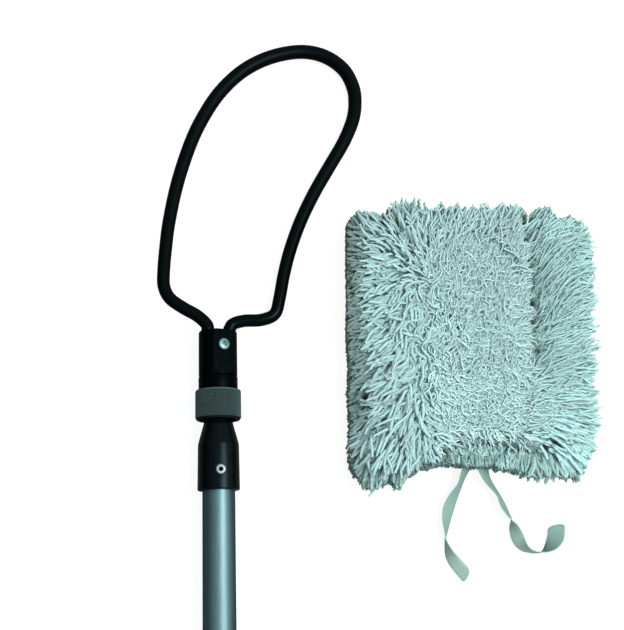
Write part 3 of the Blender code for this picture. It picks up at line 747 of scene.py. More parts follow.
def makeRivets():
    shank, head, hole, tail = (rivet[part + "Radius"] for part in ("shank", "head", "hole", "tail"))
    bore = pole["radius"] - pole["wall"]
    under = math.sqrt(bore**2 - tail**2) - play
    foot = under - rivet["tailHeight"]
    low = ferrule["radius"] - rivet["spotDepth"] + play
    top = low + rivet["headHeight"]
    edge = rivet["headEdge"]
    outline = [(0, foot), (tail, foot, edge), (tail, under), (shank, under), (shank, low), (head, low)]
    outline += [(head, top - rivet["crown"], edge), (hole, top, edge / 2)]
    outline += [(hole, top - rivet["holeDepth"]), (0, top - rivet["holeDepth"])]
    for side, bm in zip(("Front", "Rear"), rivetPair(eased(outline))):
        piece("rivet" + side, bm, rivetShadedSteel, "pole", "ferrule_rivet_" + side.lower())


makePole()
makeEndCap()
makeGrip()
makeFerrule()
makeRivets()
print("pole, cap, grip and ferrule made")


# Lock nut

nutLow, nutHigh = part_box("lock_nut")
nut = {
    "radius": nutHigh.x,
    "start": nutLow.y,
    "end": nutHigh.y,
    "skirt": 0.0051,
    "skirtWall": 0.0028,
    "lip": 0.003,
    "rimTop": 0.0016,  # smooth rim above the knurl
    "rimFoot": 0.0016,
    "knurlDepth": 0.0010,
    "diamonds": 54,
    "rows": 9,
    "samples": 4,  # points across one diamond
    "threadBore": 0.0144,
    "lipBore": 0.0115,
    # Roundings, each as how far in and how far up: the foot's as shares of its rim, and the
    # smooth rim's in metres from the knurl's top and from the nut's
    "footRound": ((0.95, 0.0), (0.55, 0.35)),
    "rimRise": ((0.0006, 0.0002), (0.0003, 0.0006)),
    "rimRound": ((0.0006, -0.0003), (0.0012, 0.0)),
}
knurled = knurledSteel(nut)


def diamond(turn, rise):
    # Height of the knurl, from 0 in the grooves to 1 on a diamond's top
    return min(1 - abs(way % 1 - 0.5) * 2 for way in (turn + rise, turn - rise))


def makeNut():
    outer, start, end = nut["radius"], nut["start"], nut["end"]
    foot, deep, thread, lipBore = nut["rimFoot"], nut["knurlDepth"], nut["threadBore"], nut["lipBore"]
    low, high = start + foot, end - nut["rimTop"]
    bore = outer - deep - nut["skirtWall"]
    lip = start + nut["skirt"]
    lipTop = lip + nut["lip"]
    steps = nut["rows"] * nut["samples"]
    # The skirt and its rounded foot, the knurl, the smooth rim above it, and the inside
    rings = [(bore, start + 0.0003), (bore + 0.0004, start)]
    rings += [(outer - foot * back, start + foot * rise) for back, rise in nut["footRound"]]
    rings += [(outer - deep, start + foot * 0.9)]
    rings += [(outer - deep, low + (high - low) * step / steps, deep) for step in range(steps + 1)]
    rings += [(outer - back, high + rise) for back, rise in nut["rimRise"]]
    rings += [(outer - back, end + rise) for back, rise in nut["rimRound"]]
    rings += [(thread, end), (thread, lipTop), (lipBore, lipTop), (lipBore, lip), (bore, lip)]
    columns = nut["diamonds"] * nut["samples"]
    bm = bmesh.new()
    loops = []
    for radius, station, *cut in rings:
        rise = (station - low) / (high - low) * nut["rows"]
        loop = []
        for column in range(columns):
            turn = math.tau * column / columns
            reach = radius + (cut[0] * diamond(column / nut["samples"], rise) if cut else 0)
            loop.append(bm.verts.new((reach * math.sin(turn), station, reach * math.cos(turn))))
        loops.append(loop)
    for one, two in zip(loops, loops[1:] + loops[:1]):
        joinRings(bm, one, two)
    piece("lockNutKnurled", bm, knurled, "lock_nut", "lock_nut", 30)


makeNut()
print("lock nut knurled")


# Turning collar, socket and clamp screw

collarLow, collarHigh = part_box("swivel_collar")
socketLow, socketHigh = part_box("loop_socket")
collar = {
    "radius": collarHigh.x,
    "start": nut["end"] + play,
    "end": collarHigh.y,
    "edge": 0.0007,
    "threadRadius": 0.0139,
    "threadDepth": 0.0007,
    "threadPitch": 0.0015,
    "threadOverlap": 0.0032,
    "spigotRadius": 0.007,
    "spigotEdge": 0.0005,
    "cupRadius": 0.0115,
    "boltRadius": 0.0029,
    "boltHeadRadius": 0.005,
    "boltHeadHeight": 0.005,
}
socket = {
    "radius": socketHigh.x,
    "start": socketLow.y,
    "end": socketHigh.y,
    "edge": 0.0013,
    "footEdge": 0.0010,
    "flatHeight": 0.0127,
    "flatTurn": math.radians(26),
    "flatStart": 0.0022,
    "flatEdge": 0.0006,
    "flatSharp": math.radians(18),  # edges that turn less are left as they are
    "rodSeatDepth": 0.0235,
    "coverSeatDepth": 0.004,
    "seatEdge": 0.0004,
    "screwStation": 0.0122,
    "boltReach": 0.010,
    "sides": 128,
}
screw = {
    "headRadius": 0.00445,
    "headHeight": 0.0024,
    "headSteps": 12,
    "rimShare": 0.3,
    "radius": 0.0024,
    "tip": 0.0026 - socket["radius"],  # short of the socket's far side
    "tipEdge": 0.0005,
    "crossWidth": 0.0009,
    "crossLength": 0.0044,
    "crossDepth": 0.0011,
    "crossTurns": (20, 110),
    "sides": 48,
}
screwPlace = (socket["end"] - socket["screwStation"], socket["flatTurn"])
# Painted light: painted shade over the middle of the screw's head, so that only its rim keeps the full
# tone, as a painted highlight
screwShadedSteel = ringShadedSteel(
    "screw steel", ((0.30, 0.48, 0.50), (0.09, 0.17, 0.18)), 0.42, screwPlace,
    ((0.0, 0.22), (0.0015, 0.30), (0.0026, 0.55), (0.0034, 1.0), (0.0046, 1.0)),
)


def makeCollar():
    outer, start, end, edge = (collar[key] for key in ("radius", "start", "end", "edge"))
    crest, spigot, cup = collar["threadRadius"], collar["spigotRadius"], collar["cupRadius"]
    root = crest - collar["threadDepth"]
    pitch = collar["threadPitch"]
    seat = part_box("friction_washer")[1].y + play
    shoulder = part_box("swivel_bolt")[0].y + collar["boltHeadHeight"] + play
    recess = collar["boltHeadRadius"] + play
    hole = collar["boltRadius"] + play
    thread = ferrule["end"] - collar["threadOverlap"]
    outline = [(hole, shoulder), (recess, shoulder), (recess, collarLow.y)]
    outline += [(spigot, collarLow.y, collar["spigotEdge"]), (spigot, seat)]
    outline += [(cup, seat), (cup, thread), (root, thread)]
    for turn in range(int((start - thread) / pitch)):
        foot = thread + pitch * turn
        outline += [(crest, foot + pitch / 2), (root, foot + pitch)]
    outline += [(root, start), (outer, start, edge), (outer, end, edge), (hole, end)]
    lathed("collarAnodised", outline, metal, "head", "swivel_collar")


def block(size, middle, turn, axis):
    # A box that is moved off the origin and then turned about it
    bm = bmesh.new()
    bmesh.ops.create_cube(bm, size=1)
    bmesh.ops.scale(bm, vec=size, verts=bm.verts)
    bmesh.ops.translate(bm, vec=middle, verts=bm.verts)
    bmesh.ops.rotate(bm, matrix=Matrix.Rotation(turn, 3, axis), verts=bm.verts)
    return bm


def makeSocket():
    outer, start, end = socket["radius"], socket["start"], socket["end"]
    well = collar["boltRadius"] + play
    wellEnd = start + socket["boltReach"] + play
    outline = [(well, start), (outer, start, socket["footEdge"]), (outer, end, socket["edge"])]
    outline += [(0, end), (0, wellEnd), (well, wellEnd)]
    made = lathed("socketAnodised", outline, metal, "head", "loop_socket", 6, socket["sides"])
    # The block that mills the flat, past the socket's round and its end
    wide, low, high = outer + over, start + socket["flatStart"], end + over
    size = (2 * wide, high - low, wide - socket["flatHeight"])
    middle = (0, (low + high) / 2, (wide + socket["flatHeight"]) / 2)
    cutters = [block(size, middle, socket["flatTurn"], "Y")]
    # The two stepped seats for the loop's rod and its cover
    rod, sheath, edge = loop["rodRadius"] + play, loop["radius"] + play, socket["seatEdge"]
    foot, step = end - socket["rodSeatDepth"], end - socket["coverSeatDepth"]
    way = [(0, foot), (rod, foot), (rod, step), (sheath, step), (sheath, end - edge)]
    way += [(sheath + edge, end), (sheath + edge, end + over), (0, end + over)]
    for side in (0, -1):
        across = loop["shares"][side][0] * loop["width"]
        shift = Vector((across * math.cos(loop["roll"]), 0, -across * math.sin(loop["roll"])))
        cutters.append(turned(way, screw["sides"]))
        bmesh.ops.translate(cutters[-1], vec=shift, verts=cutters[-1].verts)
    tip, hole = screw["tip"] - play, screw["radius"] + play
    drill = [(0, tip), (hole, tip), (hole, outer + over), (0, outer + over)]
    carve(made, *cutters, aimed(turned(drill, screw["sides"]), *screwPlace))
    # A narrow rounding along the edges that the cuts left
    bevel = made.modifiers.new("soften", "BEVEL")
    bevel.width = socket["flatEdge"] / 2
    bevel.segments = 2
    bevel.limit_method = "ANGLE"
    bevel.angle_limit = socket["flatSharp"]
    bevel.harden_normals = True
    settled(made)


def makeClampScrew():
    head, shank, tip = screw["headRadius"], screw["radius"], screw["tip"]
    low = socket["flatHeight"] + play
    rim = low + screw["headHeight"] * screw["rimShare"]
    rise = screw["headHeight"] * (1 - screw["rimShare"])
    outline = [(0, tip), (shank, tip, screw["tipEdge"]), (shank, low), (head, low)]
    for step in range(screw["headSteps"]):
        turn = math.radians(step * 90 / screw["headSteps"])
        outline.append((head * math.cos(turn), rim + rise * math.sin(turn)))
    outline.append((0, rim + rise))
    bm = aimed(turned(eased(outline), screw["sides"]), *screwPlace)
    made = piece("clampScrewDomed", bm, screwShadedSteel, "head", "clamp_screw")
    top, deep = rim + rise + over, rim + rise - screw["crossDepth"]
    size = (screw["crossLength"], screw["crossWidth"], top - deep)
    middle = (0, 0, (top + deep) / 2)
    bars = [block(size, middle, math.radians(spin), "Z") for spin in screw["crossTurns"]]
    for bar in bars:
        bmesh.ops.transform(bar, matrix=standing(*screwPlace), verts=bar.verts)
    carve(made, *bars)


# Covered loop

loop = {
    "width": 0.160,
    "reach": 0.2473,
    "radius": 0.0050,
    "farRadius": 0.00595,
    "rodRadius": 0.0036,
    "sides": 28,
    "steps": 6,
    # Shares of the width from the pole's axis, and of the reach from the socket's top
    "shares": [
        (-0.052, 0.000), (-0.053, 0.024), (-0.101, 0.055), (-0.172, 0.082),
        (-0.236, 0.113), (-0.265, 0.151), (-0.268, 0.198), (-0.2595, 0.276),
        (-0.242, 0.3755), (-0.2015, 0.508), (-0.139, 0.643), (-0.072, 0.744),
        (0.0205, 0.842), (0.1435, 0.9235), (0.288, 0.9765), (0.448, 1.000),
        (0.577, 0.9855), (0.677, 0.9375), (0.7255, 0.8725), (0.734, 0.812),
        (0.718, 0.747), (0.6645, 0.664), (0.581, 0.5705), (0.4965, 0.474),
        (0.423, 0.374), (0.366, 0.2725), (0.332, 0.1875), (0.310, 0.115),
        (0.2845, 0.061), (0.217, 0.041), (0.130, 0.038), (0.076, 0.0275),
        (0.0595, 0.012), (0.0535, 0.000),
    ],
}
# The loop is rolled about the pole's axis until its far side rests on the floor
farthest = loop["width"] * max(across for across, out in loop["shares"])
loop["roll"] = math.asin((nut["radius"] - loop["farRadius"]) / farthest)


def makeLoopCover():
    line = [
        Vector((across * loop["width"], socket["end"] + out * loop["reach"], 0))
        for across, out in loop["shares"]
    ]
    run = smoothRun(line, loop["steps"])
    down = Vector((0, play - socket["coverSeatDepth"], 0))
    run = [run[0] + down, *run, run[-1] + down]
    swell = (loop["farRadius"] - loop["radius"]) / loop["reach"]
    up = Vector((0, 0, 1))
    walls = ([], [])
    for point, way, travelled in zip(run, headings(run), travels(run)):
        radius = loop["radius"] + swell * max(point.y - socket["end"], 0)
        across = way.cross(up).normalized()
        for rings, size in zip(walls, (radius, loop["rodRadius"] + play)):
            ring = []
            for side in range(loop["sides"]):
                turn = math.tau * side / loop["sides"]
                place = point + (across * math.cos(turn) + up * math.sin(turn)) * size
                ring.append((place, (side / loop["sides"], travelled, 0)))
            rings.append(ring)
    bm = bmesh.new()
    outside, inside = (skinned(bm, rings) for rings in walls)
    joinRings(bm, outside[0], inside[0])
    joinRings(bm, outside[-1], inside[-1])
    bmesh.ops.rotate(bm, matrix=Matrix.Rotation(loop["roll"], 3, "Y"), verts=bm.verts)
    piece("loopCoverRubber", bm, cover, "head", "loop_cover")


makeCollar()
makeSocket()
makeClampScrew()
makeLoopCover()
print("collar, socket, screw and loop made")


# Sleeve

sleeve = {
    "side": 0.108,
    "mouth": 0.7776,
    "length": 0.190,
    "mouthWidth": 0.166,
    "farWidth": 0.180,
    "backing": 0.0025,
    "pocketGap": 0.006,
    "lowerFace": -0.010,
    "crown": 0.0085,  # how far the upper backing bulges
    "columns": 72,
    "rows": 76,
}
sleeve["pocketFloor"] = sleeve["lowerFace"] + sleeve["backing"]
sleeve["pocketRoof"] = sleeve["pocketFloor"] + sleeve["pocketGap"]
sleeve["upperFace"] = sleeve["pocketRoof"] + sleeve["backing"]

pileLook = {
    # A duller tone, for strands of a random duller tint and for painted shade
    "dull": (0.12, 0.185, 0.17),
    "backing": (0.40, 0.64, 0.61),
    "classes": 48,  # shades of strand
    # Where painted shade makes strands duller: at the left edge but less near the mouth, at the far
    # end and low down. Each is where that starts, the width that it fades over, and how much.
    "paintedShadeLeft": (-0.0055, 0.013, 1.4),
    "paintedShadeLeftAtMouth": (0.012, 0.02, 0.35),
    "paintedShadeFar": (0.985, 0.012, 0.22),  # starts at this share of the length
    "paintedShadeLow": (0.006, 0.016, 0.22),
    # For each kind: its body tone, its tip tone a little paler as painted light, its root tone of
    # painted shade, how far its shading leans upwards, and how dark the painted shade makes its root
    "thick": ((0.365, 0.580, 0.570), (0.385, 0.605, 0.595), (0.31, 0.485, 0.46), 0.70, 0.25),
    "matted": ((0.500, 0.910, 0.875), (0.51, 0.920, 0.885), (0.50, 0.90, 0.87), 0.92, 0.0),
    "fringe": ((0.400, 0.660, 0.635), (0.45, 0.730, 0.705), (0.17, 0.25, 0.23), 0.45, 0.55),
}


def pileFinish(kind):
    # Painted shade darkens a strand towards its root, the duller ones most, and its tip is a little
    # paler as painted light; fine filaments run along it
    body, tip, rootShadeTone, softness, depth = pileLook[kind]
    made = Finish(kind + " pile", "pile", body, 0.85, gloss=0.05)
    made.set("Subsurface Weight", softness * 0.85)
    made.set("Subsurface Radius", (1.0, 1.0, 1.0))
    made.set("Subsurface Scale", 0.003)
    around, along, shade = made.parts(made.attribute("grow"))
    tone = made.ramp(along, (0.0, body), (0.6, body), (1.0, tip))
    root = made.fade(along, 0.0, 0.6, 1.0, 0.0) * (depth + shade * 0.6)
    tone = made.mixed(root, tone, rootShadeTone)
    cloud = made.noise(made.place(), 48, 2.0, 0.5)
    cloud = made.fade(cloud, 0.40, 0.68, 0.0, 0.16 * (1.1 - softness))
    # Random duller strands and painted shade, both carried in each strand's shade value
    dull = made.mixed(shade * 0.85 + cloud, tone, pileLook["dull"])
    twist = ((around * 3.0 + along * 3.0) * math.tau).wave()
    tone = made.mixed(twist * 0.05, dull, (0.25, 0.38, 0.36))
    return made.ended(tone, 0.85, twist, 0.2, 0.0002, made.fluffy(softness))


def backingFinish():
    made = Finish("knitted backing", "pile", pileLook["backing"], 0.95)
    where = made.place()
    across, out, _ = made.parts(where)
    knit = (across * 4200.0).sine() * (out * 3600.0).sine() * 0.5 + 0.5
    tone = made.mixed(knit * 0.5, pileLook["backing"], (0.28, 0.43, 0.41))
    tone = made.mixed(made.noise(where, 90, 3.0, 0.6) * 0.4, tone, (0.36, 0.50, 0.45))
    # Painted shade on the bare ground round the hollows, the crease and under the lip
    tone = made.mixed(made.attribute("deep", "Fac"), tone, (0.02, 0.035, 0.03))
    return made.ended(tone, 0.95, knit, 0.4, 0.0003)


def tapeFinish(name, shadow):
    # Twill tape: ribs run along it, and its underside is paler, painted light where it twists away
    # from the lamp; a shadow share paints shade over all of it
    made = Finish(name, "tape", (0.23, 0.38, 0.335), 0.9, gloss=0.2)
    across, along, side = made.parts(made.attribute("grow"))
    ribs = (across * 44.0).wave()
    weft = (along * 9000.0 + (across * 22.0).sine() * 0.6).wave()
    cloud = made.noise(made.place(), 160, 3.0, 0.6)
    tone = made.mixed(ribs * 0.45, (0.205, 0.345, 0.300), (0.13, 0.22, 0.185))
    tone = made.mixed(weft * 0.2, tone, (0.12, 0.20, 0.165))
    # Painted light: the underside is mixed towards a much paler tone
    tone = made.mixed(made.fade(side, 0.0, 1.0, 0.85, 0.0), tone, (0.48, 0.72, 0.62))
    tone = made.mixed(cloud * 0.25, tone, (0.26, 0.41, 0.35))
    tone = made.mixed(shadow, tone, (0.05, 0.07, 0.06))
    return made.ended(tone, 0.9, ribs * 0.7 + weft * 0.5, 0.5, 0.00025)


thickPile, matPile, fringePile = (pileFinish(kind) for kind in ("thick", "matted", "fringe"))
backingMaterial = backingFinish()
tapeMaterial = tapeFinish("cotton tape", 0.0)
hemMaterial = tapeFinish("shaded hem tape", 0.55)


def widthAt(out):
    return sleeve["mouthWidth"] + (sleeve["farWidth"] - sleeve["mouthWidth"]) * out


def sleevePoint(across, out):
    # A place on the sleeve, from shares of its width and of its length from the mouth
    return sleeve["side"] + widthAt(out) * across, sleeve["mouth"] + sleeve["length"] * out


def shareOf(x, y):
    # The shares of a place on the sleeve, the other way round
    out = (y - sleeve["mouth"]) / sleeve["length"]
    return (x - sleeve["side"]) / widthAt(out), out


def makeBacking(name, face, up, node):
    # The knitted ground: a sheet whose outer side is the given face
    bm = bmesh.new()
    deep = bm.verts.layers.float.new("deep")
    rows, columns = sleeve["rows"], sleeve["columns"]
    layers = []
    for depth in (0.0, sleeve["backing"]):
        grid = []
        for row in range(rows + 1):
            grid.append([])
            for column in range(columns + 1):
                across, out = column / columns, row / rows
                lift = float(bulge(across, out)) if up > 0 else 0.0
                spot = bm.verts.new((*sleevePoint(across, out), face + lift - up * depth))
                # Painted shade for the bare ground, kept as each point's deep value
                spot[deep] = float(shaded(across, out)) if up > 0 else 0.0
                grid[-1].append(spot)
        layers.append(grid)
    for grid in layers:
        for low, high in zip(grid, grid[1:]):
            for column in range(columns):
                bm.faces.new((low[column], low[column + 1], high[column + 1], high[column]))
    rims = []
    for grid in layers:
        right = [row[-1] for row in grid[1:]]
        left = [row[0] for row in grid[-2:0:-1]]
        rims.append([*grid[0], *right, *grid[-1][-2::-1], *left])
    joinRings(bm, *rims)
    return piece(name, bm, backingMaterial, "sleeve", node)


hem = {
    "width": 0.006,
    "seam": 0.004,  # width of the sewn allowances
    "swell": 0.0008,
    "edge": 0.0009,
    "stations": 90,
    "wave": 0.0002,
    "stitchDepth": 0.00035,
}


def makeStrip(name, node, ends, near, far, low, high):
    # A soft strip of folded tape between two ends, with a stitched line along it. It reaches
    # from near to far measured across, and from low to high.
    start, end = Vector(ends[0]), Vector(ends[1])
    run = end - start
    across = Vector((run.y, -run.x, 0)).normalized()
    edge, middle, level = hem["edge"], (far + near) / 2, (low + high) / 2
    corners = [(near, low, edge), (far, low, edge), (far, high, edge), (middle, high)]
    corners = eased([*corners, (near, high, edge)], 3)
    rings = []
    for station in range(hem["stations"] + 1):
        share = station / hem["stations"]
        spot = start + run * share
        sway = hem["wave"] * math.sin(share * 23.0) * math.sin(share * 61.0)
        ring = []
        for side, height in corners:
            if station % 2 and abs(side - middle) < abs(far - near) / 4:
                height += hem["stitchDepth"] / 2 * (-1 if height > level else 1)
            place = spot + across * (side + sway) + Vector((0, 0, height))
            ring.append((place, (side / hem["width"], share * run.length, 0)))
        rings.append(ring)
    bm = bmesh.new()
    made = skinned(bm, rings)
    bm.faces.new(made[0])
    bm.faces.new(made[-1])
    return piece(name, bm, hemMaterial, "sleeve", node)


def makeHems():
    line = sleeve["mouth"] - play
    ends = [(sleevePoint(side, 0)[0], line, 0) for side in (0, 1)]
    roof, rim = sleeve["pocketRoof"], sleeve["upperFace"] + hem["swell"]
    foot, floor = sleeve["lowerFace"] - hem["swell"], sleeve["pocketFloor"]
    upper = makeStrip("upperHemTape", "upper_hem", ends, 0.0, hem["width"], roof, rim)
    return upper, makeStrip("lowerHemTape", "lower_hem", ends, 0.0, hem["width"], foot, floor)


def makeSeams():
    levels = (sleeve["pocketFloor"] + play, sleeve["pocketRoof"] - play)
    width = hem["seam"]
    clear = width + 2 * play
    left, right = ([(*sleevePoint(side, out), 0) for out in (0, 1)] for side in (0, 1))
    far = ((left[1][0] + clear, left[1][1], 0), (right[1][0] - clear, right[1][1], 0))
    return (
        makeStrip("leftSeamTape", "left_seam", left, 0.0, width, *levels),
        makeStrip("rightSeamTape", "right_seam", right, -width, 0.0, *levels),
        makeStrip("endSeamTape", "end_seam", far, 0.0, width, *levels),
    )


tie = {
    "width": 0.013,
    "thickness": 0.0012,
    "thinning": 0.45,  # how much thinner its edges are
    "reach": 0.090,
    "lift": 0.0003,
    "steps": 14,
    "columns": 10,
    # Shares of the reach towards +X from the sleeve's left edge and out of its mouth, and
    # the tape's tilt about its own run, in degrees
    "left": [
        (0.930, 0.000, 56), (0.897, 0.073, 64), (0.855, 0.170, 68), (0.797, 0.266, 54),
        (0.753, 0.362, 46), (0.727, 0.459, 56), (0.715, 0.556, 74), (0.713, 0.623, 88),
        (0.729, 0.700, 106), (0.757, 0.767, 124), (0.803, 0.835, 132), (0.880, 0.930, 134),
    ],
    "right": [
        (1.055, 0.000, 40), (1.101, 0.128, 56), (1.180, 0.248, 68), (1.217, 0.337, 62),
        (1.254, 0.416, 68), (1.282, 0.466, 80), (1.301, 0.529, 112), (1.328, 0.621, 128),
        (1.368, 0.694, 114), (1.423, 0.731, 98), (1.490, 0.745, 92), (1.550, 0.738, 80),
        (1.606, 0.696, 54), (1.651, 0.629, 28), (1.667, 0.566, 12), (1.671, 0.517, 16),
    ],
    # How far the last of the tape is sheared by its slanting cut, as a share of its width
    "cuts": {"left": -0.35, "right": 0.25},
    "cutRound": 0.35,  # how much the cut end rounds off, as a share of half its width
    "cutRun": 0.012,
}


def makeTie(side):
    width, thickness, columns = tie["width"], tie["thickness"], tie["columns"]
    start = Vector((sleeve["side"], sleeve["mouth"] - hem["width"] - 2 * play, 0))
    hemHeight = (sleeve["lowerFace"] + sleeve["pocketFloor"]) / 2
    places, tilts = [], []
    for across, out, tilt in tie[side]:
        turn = math.radians(tilt)
        stand = (abs(math.sin(turn)) * width + abs(math.cos(turn)) * thickness) / 2
        drop = min(out / tie[side][2][1], 1)
        height = hemHeight + (fits["floor"] + tie["lift"] + stand - hemHeight) * drop
        places.append(start + Vector((across * tie["reach"], -out * tie["reach"], height)))
        tilts.append(Vector((turn, 0, 0)))
    run = smoothRun(places, tie["steps"])
    along = travels(run)
    wides = [column / columns * 2 - 1 for column in range(columns + 1)]
    outline = [(wide, -1) for wide in wides] + [(-wide, 1) for wide in wides]
    rings = []
    for spot, way, tilt, travelled in zip(run, headings(run), smoothRun(tilts, tie["steps"]), along):
        near = max(1 - (along[-1] - travelled) / tie["cutRun"], 0) ** 2
        across = way.cross(Vector((0, 0, 1))).normalized()
        up = across.cross(way)
        flat = across * math.cos(tilt.x) + up * math.sin(tilt.x)
        proud = up * math.cos(tilt.x) - across * math.sin(tilt.x)
        ring = []
        for wide, face in outline:
            thin = thickness / 2 * (1 - tie["thinning"] * wide**6)
            cut = near * (tie["cuts"][side] * wide - tie["cutRound"] * wide**4)
            place = spot + (flat * wide + way * cut) * width / 2 + proud * face * thin
            ring.append((place, (wide * 0.5 + 0.5, travelled, face)))
        rings.append(ring)
    bm = bmesh.new()
    made = skinned(bm, rings)
    for corner in made[0]:
        corner.co.y = start.y
    for ring in (made[0], made[-1]):
        for one in range(columns):
            bm.faces.new((ring[one], ring[one + 1], ring[-2 - one], ring[-1 - one]))
    tape = piece(side + "TieTape", bm, tapeMaterial, "sleeve", "tie_" + side, 50)


